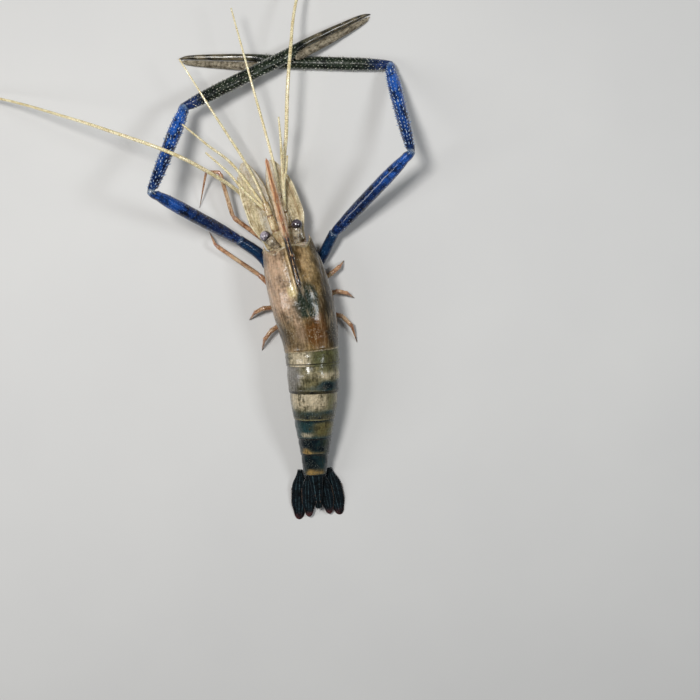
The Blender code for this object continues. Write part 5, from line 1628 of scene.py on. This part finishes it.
def arm_spines(kind, skin, length, first, last, rng, skip=None):
    """Roots, tips and widths of rows of spines that lean towards the claw."""
    *sizes, growth, angles = SPINES[kind]
    size, radius, pitch = mm(sizes)
    count = int(length * (last - first) / pitch)
    parts = []
    for row, angle in enumerate(angles):
        places = np.arange(count) + 0.5 * (row % 2) + rng.uniform(-ROW_SPREAD, ROW_SPREAD, count)
        at = first + (last - first) * places / count
        turn = np.radians(angle + rng.uniform(-ANGLE_SPREAD, ANGLE_SPREAD, count))
        spot, out, ahead = skin(np.clip(at, 0, 1), turn)
        scale = rng.uniform(0.6, 1.0, count) * np.where(np.arange(count) % 3 == 0, 1.15, 0.8) * growth
        tips = spot + (out * SPINE_STANDS + ahead * SPINE_LEANS) * (size * scale)[:, None]
        keep = np.ones(count, bool) if skip is None else ~skip(at, turn)
        row_of_spines = (spot - out * SPINE_DEPTH, tips, radius * scale * SPINE_SLENDER)
        parts.append([values[keep] for values in row_of_spines])
    return [np.concatenate(group) for group in zip(*parts)]


# %% Felt
FELT_COUNT = 6500
FELT_LENGTH, FELT_SUNK, FELT_WIDTH = mm((0.85, 0.08, 0.065))
FELT_BEND = 0.16


def felt(side, skin, rng):
    """Short overlapping tufts over the moving finger, thinning towards its tip."""
    at = rng.random(FELT_COUNT) ** 1.08 * 0.95 + 0.01
    angle = rng.uniform(0, 2 * math.pi, FELT_COUNT) - math.pi / 2
    spot, out, ahead = skin(at, angle)
    way = unit(out * 0.55 + ahead + np.cross(out, ahead) * rng.normal(0, 0.28, FELT_COUNT)[:, None])
    length = FELT_LENGTH * rng.uniform(0.6, 1.15, FELT_COUNT) * (1 - 0.45 * ease(0.75, 1.0, at))
    places = 0.02 + 0.96 * np.stack((at, (angle + math.pi / 2) / (2 * math.pi)), axis=1)
    many(
        f"arm_{side}_felt", "felt", "felt", spot - out * FELT_SUNK, spot + way * length[:, None], FELT_WIDTH,
        levels=3, bend=out * length[:, None] * FELT_BEND, uvs=places,
    )
    print(side, FELT_COUNT, "tufts of felt")


# %% Claws
PALM_RADIUS, FINGER_RADIUS = mm((3.0, 1.6))
PALM_FLATNESS = 0.90
FINGERS_START = 0.60
CLAW_SPINES_END = 0.93
SMALL_SPINE, SMALL_SPINE_WIDTH = 0.55, 0.7
# Shares of the claw's length, and there the palm's radius as a share of its widest, and how far aside the
# fixed finger stands, as a share of a finger's radius
PALM_AT = (0, 0.035, 0.09, 0.2, 0.35, 0.5, 0.565, 0.60, 0.65, 0.75, 0.85, 0.93, 0.97, 1.0)
PALM_WIDTH = (0.70, 0.80, 0.93, 1.0, 1.01, 1.0, 0.95, 0.76, 0.55, 0.50, 0.42, 0.33, 0.24, 0.09)
PALM_OFFSET = (0, 0, 0, 0, 0, 0, 0.18, 0.62, 0.98, 0.93, 0.78, 0.62, 0.44, 0.02)
# The same for the moving finger, which has its own widest radius
FINGER_AT = (0.57, 0.60, 0.65, 0.75, 0.85, 0.93, 0.97, 0.99)
FINGER_WIDTH = (0.85, 1.0, 1.0, 0.92, 0.76, 0.60, 0.46, 0.18)
FINGER_OFFSET = (0.95, 1.04, 1.06, 1.0, 0.86, 0.70, 0.55, 0.30)


def bare(at, turn):
    """Where the fixed finger carries no spines."""
    return np.sin(turn * 5 + at * 90) > -0.2


def claw(side, wrist, tip, at_wrist, rng):
    """The spiny palm with its fixed finger, and the felted moving finger on the body's side."""
    along = unit(tip - wrist)
    length = np.linalg.norm(tip - wrist)
    inward = unit(np.array((along[1], -along[0], 0)))
    inward = -inward if inward[1] > 0 else inward
    apart = FINGER_RADIUS + GAP / 2
    fine = np.concatenate((np.linspace(0, 0.52, 60), np.linspace(0.53, 0.66, 26), np.linspace(0.67, 1, 50)))
    offset = apart * curve([*zip(PALM_AT, PALM_OFFSET)], fine)
    path = wrist + at_wrist * (GAP / 2) + along * (length * fine)[:, None] - inward * offset[:, None]
    palm = tube(
        f"arm_{side}_palm_shell", "claw", "claw", path, PALM_RADIUS * curve([*zip(PALM_AT, PALM_WIDTH)], fine),
        sides=44, flat=PALM_FLATNESS, form=uneven(4, 15, 60, 1, 0.012), start=at_wrist, marks=palm_marks,
    )
    fine = np.linspace(FINGERS_START - 0.022, 0.992, 90)
    offset = apart * curve([*zip(FINGER_AT, FINGER_OFFSET)], fine) + GAP
    path = wrist + along * (length * fine)[:, None] + inward * offset[:, None]
    finger = tube(
        f"arm_{side}_finger_shell", "felt", "felt", path,
        FINGER_RADIUS * curve([*zip(FINGER_AT, FINGER_WIDTH)], fine), sides=32, flat=PALM_FLATNESS,
    )
    felt(side, finger, rng)
    large = arm_spines("palm", palm, length, 0.03, FINGERS_START, rng)
    roots, tips, widths = arm_spines("palm", palm, length, FINGERS_START, CLAW_SPINES_END, rng, bare)
    return [large, (roots, roots + (tips - roots) * SMALL_SPINE, widths * SMALL_SPINE_WIDTH)]


# %% Both arms
def membrane(name, at, way, radius, length):
    """Soft skin bulging a little out of a joint."""
    shares = np.linspace(-1, 1, 22)
    tube(
        name, "membrane", "arm", at + way * (shares * length / 2)[:, None],
        radius * np.sqrt(np.maximum(0.02, 1 - shares**2 * 0.92)), sides=28, nodes=[],
        form=lambda share, angle: 1 + 0.04 * np.sin(share * 24) + 0.02 * np.sin(angle * 6),
    )


def great_arms():
    rng = np.random.default_rng(SEED)
    for side, sign in SIDES.items():
        arm = f"arm_{side}"
        root, outward = thorax_side(ARM_ROOT_S, sign, ARM_ROOT_Z, ROOT_CLEARANCE)
        over, ring, elbow, wrist, tip = ARM_JOINTS[side]
        at_ring, at_elbow = arm_joint(over, ring, elbow), arm_joint(ring, elbow, wrist)
        at_wrist = arm_joint(elbow, wrist, tip)
        path = (root - outward * ARM_SUNK, root + outward * ARM_RISE, over, ring - at_ring * (GAP / 2))
        tube(
            f"{arm}_ischium_shell", "arm", "arm", even(path, ISCHIUM_STEPS), even(ISCHIUM_RADII, ISCHIUM_STEPS),
            sides=36, form=joint_form((0.42,), 0.07), start=outward, end=at_ring, marks=ischium_marks,
        )
        merus = arm_length(f"{arm}_merus_shell", ring, elbow, MERUS_RADII, at_ring, at_elbow, merus_marks)
        carpus = arm_length(f"{arm}_carpus_shell", elbow, wrist, CARPUS_RADII, at_elbow, at_wrist, carpus_marks)
        membrane(f"{arm}_ring_membrane", ring, unit(elbow - ring), MERUS_RADII[0] * 0.88, mm(3.0))
        membrane(f"{arm}_elbow_membrane", elbow, at_elbow, CARPUS_RADII[0] * 0.94, mm(3.2))
        membrane(f"{arm}_wrist_membrane", wrist, at_wrist, CARPUS_RADII[-1] * 0.84, mm(2.8))
        blue_spines = [
            arm_spines("merus", merus, np.linalg.norm(elbow - ring), 0.06, 0.92, rng),
            arm_spines("carpus", carpus, np.linalg.norm(wrist - elbow), 0.05, 0.95, rng),
        ]
        for kind, groups in (("arm", blue_spines), ("claw", claw(side, wrist, tip, at_wrist, rng))):
            roots, tips, widths = (np.concatenate(group) for group in zip(*groups))
            many(f"{kind}_{side}_spines", f"{kind}_spine", kind, roots, tips, widths, sides=7, levels=3)
            print(side, kind, len(roots), "spines")


great_arms()

# %% [markdown]
# ## Floor, light and camera
# A plain pale floor, one large soft lamp above and two lower ones for the long wet highlights, and a camera
# nearly straight overhead, as the animal was seen.

# %% Floor
FLOOR_HALF = 1.2
FLOOR_CLOUDS = 9
FLOOR_TONES = ((0.60, 0.60, 0.60, 1), (0.68, 0.68, 0.67, 1))
FLOOR_ROUGHNESS = 0.6


def floor():
    bm = bmesh.new()
    bmesh.ops.create_grid(bm, x_segments=2, y_segments=2, size=FLOOR_HALF)
    mesh = to_mesh(bm, "floor")
    plane = bpy.data.objects.new("floor", mesh)
    bpy.context.scene.collection.objects.link(plane)
    look = bpy.data.materials.new("floor_look")
    look.use_nodes = True
    tree = look.node_tree
    tree.nodes.clear()
    place = add(tree, "ShaderNodeTexCoord").outputs["Object"]
    tone = blend(tree, cloud(tree, place, FLOOR_CLOUDS), *FLOOR_TONES)
    shader = add(tree, "ShaderNodeBsdfPrincipled", {"Base Color": tone, "Roughness": FLOOR_ROUGHNESS})
    add(tree, "ShaderNodeOutputMaterial", {"Surface": shader.outputs[0]})
    mesh.materials.append(look)
    print("floor", FLOOR_HALF * 2, "m wide")


floor()

# %% Light
LIT_PLACE = (0.02, -0.02, 0.01)
# Each lamp's place, size, power and colour
LAMPS = {
    "lamp_above": ((-0.16, 0.16, 0.70), (0.14, 0.14), 3.5, (1.0, 0.98, 0.95)),
    "lamp_left": ((-0.50, -0.10, 0.42), (0.08, 0.40), 0.9, (1, 1, 1)),
    "lamp_right": ((0.40, 0.05, 0.55), (0.14, 0.14), 1.1, (0.95, 0.98, 1.0)),
}
SKY_COLOUR = (0.92, 0.96, 1.0, 1)
SKY_STRENGTH = 0.09


def lamp(name, place, size, power, colour):
    data = bpy.data.lights.new(name, "AREA")
    data.shape = "RECTANGLE"
    data.size, data.size_y = size
    data.energy = power
    data.color = colour
    thing = bpy.data.objects.new(name, data)
    thing.location = place
    thing.rotation_euler = (Vector(LIT_PLACE) - Vector(place)).to_track_quat("-Z", "Y").to_euler()
    bpy.context.scene.collection.objects.link(thing)


for lamp_name, settings in LAMPS.items():
    lamp(lamp_name, *settings)
world = bpy.data.worlds.new("studio")
world.use_nodes = True
sky = world.node_tree.nodes["Background"].inputs
sky["Color"].default_value = SKY_COLOUR
sky["Strength"].default_value = SKY_STRENGTH
bpy.context.scene.world = world
print(len(LAMPS), "lamps")

# %% Camera
camera_data = bpy.data.cameras.new("camera")
camera_data.sensor_width = 36
camera_data.lens = 65.65
camera_data.clip_start = 0.01
camera_data.clip_end = 20
camera = bpy.data.objects.new("camera", camera_data)
camera.location = (0.0238, 0.0235, 0.5977)
camera.rotation_euler = (math.radians(-5), 0, 0)
bpy.context.scene.collection.objects.link(camera)
bpy.context.scene.camera = camera
bpy.context.scene.view_settings.view_transform = "Standard"
print("camera at", tuple(camera.location))
